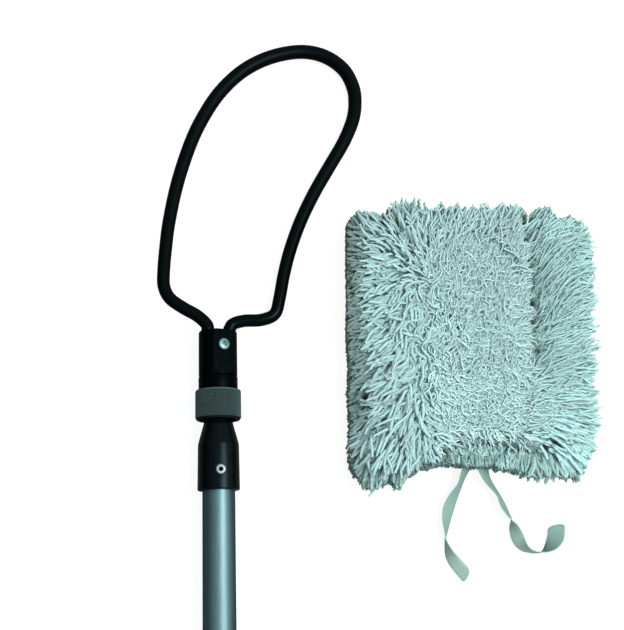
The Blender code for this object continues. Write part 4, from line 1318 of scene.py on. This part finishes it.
# The pile's lie, read from the photograph. Each line: shares across and out, the way the
# strands point (degrees, 0 towards +X, 90 towards the far end), how flat they lie from 0
# upright to 1 along the backing, and their length and thickness against the usual ones.
pile = {
    "length": 0.0185,
    "radius": 0.00092,
    # Each room of the upper panel: its name, where it starts and ends as shares across, how far
    # apart its strands root, their sides and steps
    "rooms": (
        ("upperPileLeft", 0.0, 0.34, 0.0029, 4, 6),
        ("upperPileInner", 0.34, 0.57, 0.00155, 3, 5),
        ("upperPileMiddle", 0.57, 0.79, 0.00155, 3, 5),
        ("upperPileRight", 0.79, 1.0, 0.00185, 3, 6),
    ),
    # As shares across: where the left strip ends, where the lip's bare strip starts, and
    # where the right strip starts
    "leftEdge": 0.34,
    "lipStart": 0.33,
    "rightEdge": 0.79,
    # The short middle pile is matted round a place, as far as these shares across and out
    "matted": ((0.52, 0.42), (0.30, 0.52), 1.3),
    "clumpPitch": 0.0062,
    "clumpScatter": 0.0008,
    "edgeScatter": 0.0006,  # how ragged the pile's edge is
    "edgeReach": 0.10,  # the least share of a step that a strand still goes past the edge
    "edgeFade": 0.012,
    "waves": 7.0,  # radians along a strand
    "top": 0.0225,  # no strand stands higher above the pole's axis
    "foot": 0.0010,  # nor lower above the floor
    "lie": [
        (-0.01, 0.98, 145, 0.95, 1.0, 1.0), (-0.01, 0.83, 180, 0.95, 0.9, 1.0),
        (-0.02, 0.65, 195, 0.95, 0.9, 1.1), (-0.02, 0.48, 203, 0.95, 0.9, 1.1),
        (-0.02, 0.34, 203, 0.95, 0.9, 1.1), (-0.02, 0.19, 207, 0.95, 1.0, 1.1),
        (-0.02, 0.05, 217, 0.95, 1.0, 1.1), (0.04, -0.02, 232, 0.98, 1.2, 1.1),
        (0.11, 1.02, 120, 0.95, 1.1, 1.0), (0.13, 0.91, 168, 0.85, 0.9, 1.1),
        (0.15, 0.78, 190, 0.80, 0.9, 1.1), (0.12, 0.61, 205, 0.85, 0.9, 1.1),
        (0.13, 0.44, 212, 0.85, 0.9, 1.1), (0.13, 0.27, 215, 0.85, 1.0, 1.1),
        (0.12, 0.11, 226, 0.90, 1.2, 1.1), (0.12, 0.00, 245, 0.95, 1.4, 1.1),
        (0.25, 1.03, 97, 0.90, 1.3, 1.0), (0.24, 0.93, 100, 0.70, 1.0, 1.0),
        (0.26, 0.69, 240, 0.60, 0.8, 1.0), (0.25, 0.52, 228, 0.70, 0.9, 1.0),
        (0.32, 0.77, 150, 0.20, 0.8, 1.0),
        (0.27, 0.35, 235, 0.70, 0.9, 1.0), (0.26, 0.18, 252, 0.80, 1.3, 1.1),
        (0.23, 0.03, 262, 0.90, 1.5, 1.1), (0.18, -0.02, 262, 0.95, 1.5, 1.1),
        (0.32, 0.02, 285, 0.90, 1.3, 1.0), (0.40, 1.02, 74, 0.85, 1.1, 0.9),
        (0.58, 1.01, 57, 0.85, 1.1, 0.8), (0.72, 1.01, 58, 0.85, 1.1, 0.8),
        (0.87, 1.01, 45, 0.90, 1.2, 0.8), (1.00, 0.95, 20, 0.95, 1.3, 0.75),
        (1.01, 0.80, 3, 0.95, 1.3, 0.75), (1.01, 0.63, 10, 0.95, 1.3, 0.75),
        (1.01, 0.46, 6, 0.95, 1.3, 0.75), (1.01, 0.29, 0, 0.95, 1.3, 0.75),
        (1.01, 0.17, -15, 0.95, 1.3, 0.8), (1.01, 0.04, -25, 0.95, 1.2, 1.0),
        (0.98, -0.02, -45, 0.95, 1.3, 1.15), (0.90, -0.02, -70, 0.95, 1.3, 1.2),
        (0.92, 0.89, 32, 0.85, 1.2, 0.75), (0.89, 0.72, 45, 0.85, 1.3, 0.7),
        (0.91, 0.54, 38, 0.85, 1.3, 0.7), (0.91, 0.38, 20, 0.85, 1.3, 0.75),
        (0.93, 0.21, 0, 0.88, 1.3, 0.8), (0.90, 0.10, -26, 0.88, 1.2, 1.0),
        (0.40, 0.82, 65, 0.70, 0.8, 0.85), (0.53, 0.86, 52, 0.75, 0.9, 0.8),
        (0.71, 0.85, 45, 0.80, 1.0, 0.75), (0.39, 0.64, 60, 0.65, 0.65, 0.9),
        (0.57, 0.64, 45, 0.65, 0.65, 0.8), (0.73, 0.63, 40, 0.75, 0.8, 0.75),
        (0.38, 0.43, 30, 0.60, 0.65, 0.9), (0.57, 0.43, 20, 0.60, 0.65, 0.8),
        (0.73, 0.42, 30, 0.72, 0.8, 0.75), (0.38, 0.22, 330, 0.65, 0.75, 0.9),
        (0.56, 0.22, 10, 0.65, 0.7, 0.8), (0.74, 0.21, 15, 0.75, 0.8, 0.75),
        (0.42, 0.12, 20, 0.75, 0.8, 0.9), (0.60, 0.11, 25, 0.75, 0.8, 0.8),
        (0.73, 0.09, 10, 0.80, 0.9, 0.8),
    ],
    # Beyond the upper panel's lip lies the lower pile: where the lip runs, as shares across
    # and out, and which way the strands point below it
    "lip": (
        (0.30, 0.36, 0.47, 0.65, 0.78, 0.87, 0.93),
        (-0.10, 0.045, 0.066, 0.062, 0.035, -0.01, -0.10),
    ),
    "lipWay": ((0.33, 0.41, 0.62, 0.74, 0.85, 0.94, 1.0), (288, 280, 265, 265, 280, 295, 310)),
    # Along the lip itself a rim of strands lies sideways
    "lipRim": 0.035,
    "rimWay": ((0.30, 0.40, 0.62, 0.80, 0.92), (350, 372, 358, 342, 325)),
    # Shares across and out along the crease between the middle and the right strip
    "crease": (
        (0.755, 1.06), (0.765, 0.98), (0.77, 0.87), (0.785, 0.80), (0.795, 0.63),
        (0.79, 0.48), (0.78, 0.36),
    ),
    # Small hollows where no strand roots: shares across and out, and how wide
    "hollows": (
        (0.78, 0.985, 0.0024), (0.79, 0.905, 0.0018), (0.80, 0.78, 0.0016), (0.81, 0.62, 0.0028),
        (0.81, 0.545, 0.0018), (0.83, 0.42, 0.0024), (0.65, 0.975, 0.0016), (0.70, 0.965, 0.0016),
        (0.55, 0.80, 0.0014), (0.58, 0.77, 0.0014), (0.43, 0.66, 0.0016), (0.43, 0.565, 0.0022),
        (0.465, 0.52, 0.0018), (0.43, 0.43, 0.0014), (0.73, 0.665, 0.0014), (0.11, 0.14, 0.0026),
        (0.04, 0.245, 0.0030), (0.39, 0.015, 0.0026), (0.47, 0.0, 0.0022), (0.85, 0.02, 0.0026),
        (0.89, 0.035, 0.0024),
    ),
    "creaseDepth": 0.0060,
    "creaseWidth": 0.0026,
    "creaseStep": 0.0045,  # how much lower its right side starts
    "creaseFade": 0.022,
    "creaseStart": 0.3,  # that step starts this share out
    "lipFade": 0.022,
    # How far painted shade darkens the bare ground: round the hollows and the crease, against their
    # own widths, and under the lip from one share out to another, and how dark
    "hollowShade": 1.8,
    "creaseShade": 1.6,
    "lipShade": (0.02, 0.03, 0.8),
    # The edge that the strands reach, as shares across and out, round from the near mouth corner
    "outline": [
        (-0.05, 0.04), (-0.035, 0.12), (-0.039, 0.25), (-0.029, 0.40), (-0.033, 0.52),
        (-0.023, 0.70), (-0.017, 0.90), (-0.008, 1.00), (0.02, 1.035), (0.05, 1.06),
        (0.09, 1.045), (0.135, 1.02), (0.17, 1.05), (0.2, 1.095), (0.235, 1.125),
        (0.27, 1.105), (0.31, 1.12), (0.335, 1.06), (0.375, 1.03), (0.41, 1.08),
        (0.43, 1.05), (0.48, 1.07), (0.515, 1.05), (0.55, 1.07), (0.565, 1.035),
        (0.595, 1.065), (0.64, 1.045), (0.7, 1.065), (0.74, 1.07), (0.775, 1.055),
        (0.8, 0.995), (0.845, 1.04), (0.885, 1.065), (0.91, 1.02), (0.92, 0.98),
        (0.96, 0.985), (0.99, 1.00), (1.03, 0.975), (1.06, 0.955), (1.095, 0.92),
        (1.1, 0.84), (1.085, 0.80), (1.115, 0.765), (1.1, 0.70), (1.14, 0.66),
        (1.11, 0.60), (1.08, 0.555), (1.115, 0.52), (1.085, 0.485), (1.135, 0.45),
        (1.11, 0.39), (1.115, 0.335), (1.08, 0.275), (1.125, 0.245), (1.09, 0.21),
        (1.12, 0.18), (1.09, 0.15), (1.13, 0.11), (1.09, 0.065), (1.095, 0.02),
        (1.07, -0.02), (1.045, -0.05), (1.035, -0.08), (1.01, -0.12), (0.96, -0.145),
        (0.915, -0.125), (0.875, -0.15), (0.845, -0.125), (0.8, -0.125), (0.765, -0.09),
        (0.71, -0.06), (0.65, -0.06), (0.62, -0.04), (0.51, -0.04), (0.42, -0.02),
        (0.375, -0.012), (0.33, -0.035), (0.27, -0.035), (0.245, -0.065), (0.21, -0.05),
        (0.185, -0.12), (0.165, -0.12), (0.15, -0.085), (0.09, -0.105), (0.035, -0.15),
        (0., -0.10), (-0.026, -0.06), (-0.045, -0.02),
    ],
}


def smooth(value):
    value = np.clip(value, 0, 1)
    return value * value * (3 - 2 * value)


def aimOf(way):
    return np.arctan2(way[:, 1], way[:, 0])


def lineGap(points, start, side):
    # Distance from each point to the nearest of some straight lines
    gap = points[:, None, :] - start[None]
    part = np.clip((gap * side).sum(2) / (side**2).sum(1), 0, 1)
    return np.linalg.norm(gap - part[..., None] * side, axis=2).min(1)


def creaseGap(across, out):
    # Distance, in metres, from the crease
    size = (sleeve["farWidth"], sleeve["length"])
    spots = np.stack([np.ravel(across), np.ravel(out)], 1) * size
    line = np.array(pile["crease"]) * size
    return lineGap(spots, line[:-1], line[1:] - line[:-1]).reshape(np.shape(across))


def creaseAt(out):
    # Where the crease runs, as a share across
    line = np.array(sorted(pile["crease"], key=lambda spot: spot[1]))
    return np.interp(out, line[:, 1], line[:, 0])


def lipAt(across):
    return np.interp(across, *pile["lip"])


def hollowGap(across, out):
    # Distance to the nearest small hollow, as a share of that hollow's own width
    x, y = sleevePoint(across, out)
    spots = np.array(pile["hollows"])
    far, away = sleevePoint(spots[:, 0], spots[:, 1])
    return (np.hypot(x[:, None] - far, y[:, None] - away) / spots[:, 2]).min(1)


def bulge(across, out):
    # How far the upper backing stands above its own edges, but for the crease and the lip
    side = np.clip(1 - (2 * across - 1) ** 4, 0, 1)
    end = np.clip(1 - np.maximum(2 * out - 1, 0) ** 6, 0, 1)
    lip = smooth((out - lipAt(across)) / pile["lipFade"])
    gap = creaseGap(across, out)
    fold = np.exp(-((gap / pile["creaseWidth"]) ** 2)) * pile["creaseDepth"]
    beyond = (across > creaseAt(out)) * (out > pile["creaseStart"])
    fold += beyond * pile["creaseStep"] * (1 - smooth(gap / pile["creaseFade"]))
    return np.maximum(sleeve["crown"] * side * end * lip - fold * lip, 0)


def shaded(across, out):
    # Painted shade on the bare ground: 1 in the hollows, the crease and the strip under the lip, 0
    # where the pile covers all
    across, out = np.array([across]), np.array([out])
    hole = smooth(pile["hollowShade"] - hollowGap(across, out))
    fold = smooth(pile["creaseShade"] - creaseGap(across, out) / pile["creaseWidth"])
    below = lipAt(across) - out
    near, far, most = pile["lipShade"]
    bare = (across > pile["lipStart"]) * smooth(below / near) * smooth(2 - below / far)
    return np.clip(np.maximum(np.maximum(hole, fold), bare * most), 0, 1)[0]


def wildness(across, out):
    # 1 where the short middle pile is matted, 0 where it lies combed
    (x, y), (wide, high), most = pile["matted"]
    return np.clip(most - ((across - x) / wide) ** 2 - ((out - y) / high) ** 2, 0, 1)


def lieAt(places):
    # Direction, flatness, length and thickness of the pile at each of these shares
    table = np.array(pile["lie"])
    gap = places[:, None, :] - table[None, :, :2]
    weight = 1 / (gap[..., 0] ** 2 + gap[..., 1] ** 2 + 0.0012) ** 2
    weight /= weight.sum(1, keepdims=True)
    aim = np.radians(table[:, 2])
    way = np.stack([weight @ np.cos(aim), weight @ np.sin(aim)], 1)
    return way, weight @ table[:, 3], weight @ table[:, 4], weight @ table[:, 5]


def insideOutline(points):
    # Signed distance, in metres, from each point to the pile's edge: positive inside
    corners = np.array([sleevePoint(across, out) for across, out in pile["outline"]])
    after = np.roll(corners, -1, 0)
    side = after - corners
    nearest = lineGap(points, corners, side)
    crossing = (corners[:, 1] > points[:, None, 1]) != (after[:, 1] > points[:, None, 1])
    slope = side[:, 0] / np.where(abs(side[:, 1]) < 1e-9, 1e-9, side[:, 1])
    reach = (points[:, None, 1] - corners[:, 1]) * slope + corners[:, 0]
    within = (crossing & (points[:, None, 0] < reach)).sum(1) % 2 == 1
    return np.where(within, nearest, -nearest)


def strandMesh(name, paths, radii, shades, tipShare, sides=4):
    # One mesh of bent, tapered tubes: paths is strands by points by 3
    count, points, _ = paths.shape
    tangent = np.gradient(paths, axis=1)
    tangent /= np.linalg.norm(tangent, axis=2, keepdims=True) + 1e-12
    helper = np.where(abs(tangent[..., 2:3]) > 0.9, [[[1.0, 0, 0]]], [[[0, 0, 1.0]]])
    first = np.cross(tangent, helper)
    first /= np.linalg.norm(first, axis=2, keepdims=True) + 1e-12
    second = np.cross(tangent, first)
    part = np.linspace(0, 1, points)
    taper = 1 - (1 - tipShare[:, None]) * np.clip((part - 0.6) / 0.4, 0, 1) ** 2
    taper = taper * (0.75 + 0.25 * np.clip(part / 0.2, 0, 1))
    angle = (math.tau * np.arange(sides) / sides)[:, None]
    spoke = first[:, :, None] * np.cos(angle) + second[:, :, None] * np.sin(angle)
    ring = paths[:, :, None] + spoke * (radii[:, None, None, None] * taper[..., None, None])
    tip = paths[:, -1] + tangent[:, -1] * radii[:, None] * 0.8
    each = points * sides + 1
    co = np.concatenate([ring.reshape(count, -1, 3), tip[:, None]], 1)
    # One strand's faces, each corner with its vertex and its place around and along the strand
    last = points - 1
    faces = []
    for step in range(points):
        for one in range(sides):
            low, high = step * sides + one, step * sides + (one + 1) % sides
            face = [(low, one, step), (high, one + 1, step)]
            if step < last:
                face += [(high + sides, one + 1, step + 1), (low + sides, one, step + 1)]
            else:
                face += [(each - 1, one + 0.5, points - 0.7)]
            faces.append(face)
    faces.append([(one, one, 0) for one in reversed(range(sides))])
    corners = np.array([corner for face in faces for corner in face])
    uv = corners[:, 1:] / (sides, points - 0.7)
    base = np.arange(count)[:, None] * each
    loops = (base + corners[:, 0]).ravel()
    sizes = np.tile([len(face) for face in faces], count)
    starts = np.concatenate([[0], np.cumsum(sizes)[:-1]])
    mesh = bpy.data.meshes.new(name)
    mesh.vertices.add(count * each)
    mesh.vertices.foreach_set("co", co.astype(np.float32).ravel())
    mesh.loops.add(len(loops))
    mesh.loops.foreach_set("vertex_index", loops.astype(np.int32))
    mesh.polygons.add(len(sizes))
    mesh.polygons.foreach_set("loop_start", starts.astype(np.int32))
    mesh.update(calc_edges=True)
    shades = shades[:, None]
    grow = np.zeros((count, len(corners), 3), np.float32)
    grow[..., :2] = uv
    grow[..., 2] = shades
    layer = mesh.attributes.new("grow", "FLOAT_VECTOR", "CORNER")
    layer.data.foreach_set("vector", grow.ravel())
    # Strands of one shade share a column of the OFBake UV layer
    classes = pileLook["classes"]
    lay = np.empty((count, len(corners), 2), np.float32)
    lay[..., 0] = (shades * (classes - 1) + 0.05 + 0.9 * uv[:, 0]) / classes
    lay[..., 1] = 0.01 + 0.98 * uv[:, 1]
    mesh.uv_layers.new(name="OFBake").data.foreach_set("uv", lay.ravel())
    mesh.validate()
    return mesh


def growPaths(roots, heading, lean, bendAt, lengths, curl, wave, steps=6):
    # Bends each strand over as it grows: up from its root, then along its heading. At the
    # pile's edge it turns down, and no strand sinks into the floor or stands above the top.
    step = lengths / steps
    here = roots.copy()
    paths = [here.copy()]
    phase = chance.uniform(0, math.tau, len(roots))
    spare = chance.normal(0, pile["edgeScatter"], len(roots))
    for number in range(steps):
        part = (number + 0.5) / steps
        tilt = lean * smooth(part / bendAt)
        turn = heading + curl * part + wave * np.sin(phase + part * pile["waves"])
        flat = np.stack([np.cos(turn), np.sin(turn)], 1) * (np.sin(tilt) * step)[:, None]
        room = insideOutline(here[:, :2] + flat) + spare
        held = np.clip(room / (np.sin(tilt) * step + 1e-9) + 1.0, pile["edgeReach"], 1.0)
        here[:, :2] += flat * held[:, None]
        here[:, 2] += np.cos(tilt) * step - np.linalg.norm(flat, axis=1) * (1 - held)
        here[:, 2] = np.clip(here[:, 2], fits["floor"] + pile["foot"], pile["top"])
        paths.append(here.copy())
    return np.stack(paths, 1)


def clumped(paths, strength):
    # Draws the tips of neighbouring strands together into tufts
    tips = paths[:, -1, :2]
    cell = (tips + chance.normal(0, pile["clumpScatter"], tips.shape)) / pile["clumpPitch"]
    group = np.unique(np.floor(cell).astype(int), axis=0, return_inverse=True)[1].ravel()
    number = np.bincount(group)
    middle = np.stack([np.bincount(group, tips[:, axis]) / number for axis in (0, 1)], 1)
    pull = (middle[group] - tips) * np.reshape(strength, (-1, 1))
    part = np.linspace(0, 1, paths.shape[1]) ** 2
    paths[:, :, :2] += pull[:, None, :] * part[None, :, None]
    return paths


def jittered(low, high, pitch):
    # Rooting places as shares, on a loose grid from low to high across the sleeve
    columns = int(sleeve["farWidth"] * (high - low) / pitch)
    rows = int(sleeve["length"] / pitch)
    across, out = np.meshgrid(np.arange(columns), np.arange(rows))
    across = across + chance.uniform(0.02, 0.98, across.shape)
    out = out + chance.uniform(0.02, 0.98, out.shape)
    return np.stack([low + across.ravel() * (high - low) / columns, out.ravel() / rows], 1)


def shadesOf(paths, base, spread):
    # Each strand's tint, from 0 pale to 1 dull: a random tone plus painted shade down the left side,
    # less near the mouth, at the far end and low down
    steps = pileLook["classes"] - 1
    x, y, z = (paths[:, -1] - (sleeve["side"], sleeve["mouth"], 0)).T
    edge, run, most = pileLook["paintedShadeLeft"]
    start, width, least = pileLook["paintedShadeLeftAtMouth"]
    left = smooth(1 - (x - edge) / run) * (least + (1 - least) * smooth((y - start) / width))
    tint = chance.normal(base, spread, len(paths)) + most * left
    start, width, much = pileLook["paintedShadeFar"]
    tint += much * smooth((y - sleeve["length"] * start) / width)
    start, width, much = pileLook["paintedShadeLow"]
    tint += much * smooth((start - z) / width)
    return np.round(np.clip(tint, 0, 1) * steps) / steps


# How the upper panel's strands grow. Lengths, thicknesses and bends are shares, angles are
# in radians, and a pair is from and to where nothing else is said.
strand = {
    "creaseRoom": 0.0014,
    "brinkRoom": 0.007,  # strands this near the crease are short
    "bare": (0.02, 0.7),  # just below the lip: how far out, and the share of strands left out
    "sparse": 0.5,  # share of strands that stay below the lip
    "rootDepth": 0.0006,
    "rootScatter": 0.0018,
    "rimLift": 0.0015,
    "rimSpan": (0.30, 0.92),  # as shares across
    "scatter": {"under": 0.2, "middle": 0.34, "right": 0.16, "loose": 0.7, "wild": 0.42},
    "calmEdge": 0.78,  # the heading is calmer past this share across
    "lengths": (0.72, 1.15),
    "length": {"under": 0.75, "rim": 0.7, "brink": 0.45, "left": 1.15},
    "flat": {"lip": 0.95, "wild": 0.15, "left": 0.12},
    "lean": (22, 78, 8),  # degrees upright, how many more when flat, and their scatter
    "bends": {"combed": (0.3, 0.9), "wild": (0.08, 0.5), "right": (0.05, 0.45)},
    "curl": (0.22, 0.5),  # usual, and how much more where it is matted
    "wave": (0.12, 0.35),
    "tufts": (0.10, 0.35, 0.45),  # usual, and more to the right and at the edge
    "thickness": {"left": 1.04, "middle": 0.85, "right": 1.10, "under": 1.45, "edge": 0.35},
    "thicknesses": (0.85, 1.12),
    "tips": (0.8, 0.5),  # thickness of a tip, in the side strips and in the middle
}


def rootedPlaces(low, high, pitch):
    # No strand roots in the crease or a hollow, and few just below the lip
    places = jittered(low, high, pitch)
    room = strand["creaseRoom"] * chance.uniform(0.4, 1.6, len(places))
    places = places[creaseGap(*places.T) > room]
    places = places[hollowGap(*places.T) > 1]
    gap = lipAt(places[:, 0]) - places[:, 1]
    width, share = strand["bare"]
    bare = (gap > 0) & (gap < width) & (chance.uniform(0, 1, len(places)) < share)
    places = places[~bare | (places[:, 0] < pile["lipStart"])]
    below = (places[:, 1] < lipAt(places[:, 0])) & (places[:, 0] > pile["lipStart"])
    return places[~below | (chance.uniform(0, 1, len(places)) < strand["sparse"])]


def makeUpperPile(name, low, high, pitch, sides, steps):
    places = rootedPlaces(low, high, pitch)
    count = len(places)
    across, out = places.T
    leftStrip, rightStrip = across < pile["leftEdge"], across > pile["rightEdge"]
    wild = wildness(across, out)
    hollow, crease = hollowGap(across, out), creaseGap(across, out)
    past = out - lipAt(across)
    under = (past < 0) & (across > pile["lipStart"])
    start, end = strand["rimSpan"]
    rim = (past > 0) & (past < pile["lipRim"]) & (across > start) & (across < end)
    z = sleeve["upperFace"] + bulge(across, out) - strand["rootDepth"]
    z = z + chance.uniform(0, strand["rootScatter"], count) * wild
    roots = np.stack([*sleevePoint(across, out), z + rim * strand["rimLift"]], 1)
    # Which way each strand points, with more scatter where the pile is matted
    way, flat, length, thick = lieAt(places)
    heading = np.where(under, np.radians(np.interp(across, *pile["lipWay"])), aimOf(way))
    heading = np.where(rim, np.radians(np.interp(across, *pile["rimWay"])), heading)
    much = strand["scatter"]
    calm = np.where(across > strand["calmEdge"], much["right"], much["middle"])
    calm = calm + (1 - np.linalg.norm(way, axis=1)) * much["loose"] + much["wild"] * wild
    heading += chance.normal(0, 1, count) * np.where(under, much["under"], calm)
    # How long each is, how flat it lies and where it bends
    brink = (across < creaseAt(out)) & (crease < strand["brinkRoom"]) | (hollow < 2)
    share = strand["length"]
    shares = [share["under"], share["rim"], share["brink"]]
    length = np.select([under, rim, brink], shares, length)
    length = np.where(leftStrip, length * share["left"], length)
    lengths = pile["length"] * length * chance.uniform(*strand["lengths"], count)
    more = strand["flat"]
    flat = np.where(under | rim, more["lip"], flat)
    flat = np.minimum(flat + more["wild"] * (wild > 0.3) + more["left"] * leftStrip, 1.0)
    upright, lying, spread = strand["lean"]
    lean = np.radians(upright + lying * flat + chance.normal(0, spread, count))
    matted, combed, right = (
        chance.uniform(*strand["bends"][kind], count) for kind in ("wild", "combed", "right")
    )
    bendAt = np.select([rightStrip, wild > 0.4], [right, matted], combed)
    curl, wave = (usual + more * wild for usual, more in (strand["curl"], strand["wave"]))
    curl = chance.normal(0, 1, count) * curl
    paths = growPaths(roots, heading, lean, bendAt, lengths, curl, wave, steps)
    edge = 1 - smooth(insideOutline(paths[:, -1, :2]) / pile["edgeFade"])
    usual, right, outer = strand["tufts"]
    tufts = usual + right * smooth((across - 0.5) / 0.3) + outer * edge
    paths = clumped(paths, np.clip(tufts, 0, 0.8))
    # Strands that would lie over a hollow are left out
    spots = shareOf(paths[:, 1:, 0].ravel(), paths[:, 1:, 1].ravel())
    clear = hollowGap(*spots).reshape(count, -1).min(1) > 0.8
    share = strand["thickness"]
    shares = [share["left"], share["middle"]]
    thick = thick * np.select([leftStrip, across < pile["rightEdge"]], shares, share["right"])
    thick = np.where(under, thick * share["under"], thick)
    swell = 1 + share["edge"] * edge * (across > pile["leftEdge"])
    radii = pile["radius"] * thick * swell * chance.uniform(*strand["thicknesses"], count)
    # Painted shade under the lip, on the right strip and more beside the crease, and round the
    # hollows; a little duller on the left strip, none on the lip's rim
    base = np.where(under, np.clip(0.75 + past * 4, 0.35, 1), np.where(leftStrip, 0.15, 0.03))
    base = np.where(rightStrip, 0.40 + 0.25 * smooth(1 - crease / 0.018), base)
    base = np.where(rim, 0.0, base) + 0.45 * smooth(2.2 - hollow)
    shades = shadesOf(paths, base, np.where(leftStrip, 0.14, 0.06))
    tips = np.where(leftStrip | rightStrip | under, *strand["tips"])
    kept = (made[clear] for made in (paths, radii, shades, tips))
    finish = matPile if low else thickPile
    return dressed(name, strandMesh(name, *kept, sides), finish, "sleeve", 60)


rimPile = {
    "count": 1700,
    "length": 0.0165,
    "low": -0.0125,
    "high": 0.0040,
    "fringe": 1300,
    "lowerPitch": 0.0052,
    "scatter": 0.22,
    "tips": 0.6,
    "outwards": 0.6,  # how much the rim's strands turn outwards
    "rimLean": (70, 120),  # degrees
    "fringeLean": (75, 115),
    "pressedLean": (92, 112),
}


def fringed(name, paths, thick, base, spread):
    radii = pile["radius"] * thick * chance.uniform(0.85, 1.1, len(paths))
    tips = np.full(len(paths), rimPile["tips"])
    mesh = strandMesh(name, paths, radii, shadesOf(paths, base, spread), tips)
    return dressed(name, mesh, fringePile, "sleeve", 60)


def makeRimPile():
    # Strands along the far end and both sides of both panels, that round off the sleeve
    count = rimPile["count"]
    share = chance.uniform(0, 1, count)
    left, right = share < 0.34, share > 0.66
    top = ~(left | right)
    along = chance.uniform(0, 1, count)
    across = np.select([left, right], [0.0, 1.0], along)
    out = np.where(top, 1.0, along)
    way, _, length, thick = lieAt(np.stack([across, out], 1))
    outwards = np.stack([right * 1.0 - left, top * 1.0], 1)
    way = way + rimPile["outwards"] * outwards
    heading = aimOf(way) + chance.normal(0, rimPile["scatter"], count)
    z = chance.uniform(rimPile["low"], rimPile["high"], count)
    lengths = rimPile["length"] * length * chance.uniform(0.7, 1.15, count)
    lean = np.radians(chance.uniform(*rimPile["rimLean"], count))
    roots = np.stack([*sleevePoint(across, out), z], 1)
    roots[:, :2] -= outwards * 0.001
    bendAt = chance.uniform(0.02, 0.5, count)
    paths = growPaths(roots, heading, lean, bendAt, lengths, chance.normal(0, 0.3, count), 0.1)
    return fringed("rimPile", clumped(paths, 0.6), thick, 0.35, 0.16)


def makeLowerPile():
    # Pile under the lower panel, pressed flat by its weight, and its fringe at the mouth
    places = jittered(0.0, 1.0, rimPile["lowerPitch"])
    front = chance.uniform((0, -0.034), (1, 0.004), (rimPile["fringe"], 2))
    places = np.concatenate([places, front])
    way, _, length, thick = lieAt(places)
    count = len(places)
    across = places[:, 0]
    fringe = np.arange(count) >= count - rimPile["fringe"]
    under = fringe & (across > pile["lipStart"])
    heading = np.where(under, np.radians(np.interp(across, *pile["lipWay"])), aimOf(way))
    heading += chance.normal(0, rimPile["scatter"], count)
    face = sleeve["lowerFace"]
    upper = chance.uniform(0, 1, count) < 0.55
    rise = chance.uniform(0, 1, count) * (sleeve["pocketFloor"] - face) + face
    z = np.where(fringe, np.where(upper, sleeve["upperFace"] + 0.001, rise), face - 0.0004)
    spans = (rimPile["fringeLean"], rimPile["pressedLean"])
    lean = np.where(fringe, *(chance.uniform(*span, count) for span in spans))
    bendAt = np.where(fringe, chance.uniform(0.05, 0.5, count), 0.02)
    lengths = pile["length"] * np.where(under, 0.95, length) * chance.uniform(0.7, 1.15, count)
    roots = np.stack([*sleevePoint(*places.T), z], 1)
    curl = chance.normal(0, 0.35, count)
    paths = growPaths(roots, heading, np.radians(lean), bendAt, lengths, curl, 0.12)
    ceiling = np.where(fringe, pile["top"], face - 0.0003)
    paths[:, :, 2] = np.minimum(paths[:, :, 2], ceiling[:, None])
    return fringed("lowerPile", clumped(paths, 0.4), thick, 0.5, 0.2)


upperBacking = makeBacking("upperBacking", sleeve["upperFace"], 1, "upper_panel")
lowerBacking = makeBacking("lowerBacking", sleeve["lowerFace"], -1, "lower_panel")
upperHem, lowerHem = makeHems()
seams = makeSeams()
makeTie("left")
makeTie("right")
print("sleeve's panels, seams, hems and ties made")

upperPile = [makeUpperPile(*room) for room in pile["rooms"]]
lowerPiles = [makeRimPile(), makeLowerPile()]
panelArea = widthAt(0.5) * sleeve["length"]
print("pile grown", [(made.name, len(made.data.polygons)) for made in upperPile + lowerPiles])

# The CAD pieces themselves, most of them behind the dressed ones
finishes = [aluminium, rubber, cover, plastic, metal, knurled, hiddenSteel, fibre]
finishes += [backingMaterial, tapeMaterial]
materials = {finish.slot: finish.material for finish in finishes}
for part in frame["record"]["subparts"]:
    for spot in frame["nodes"][part["node"]].material_slots:
        spot.material = materials[part["material_slot"]]
print("inner washers, ring, bolt and rod finished")
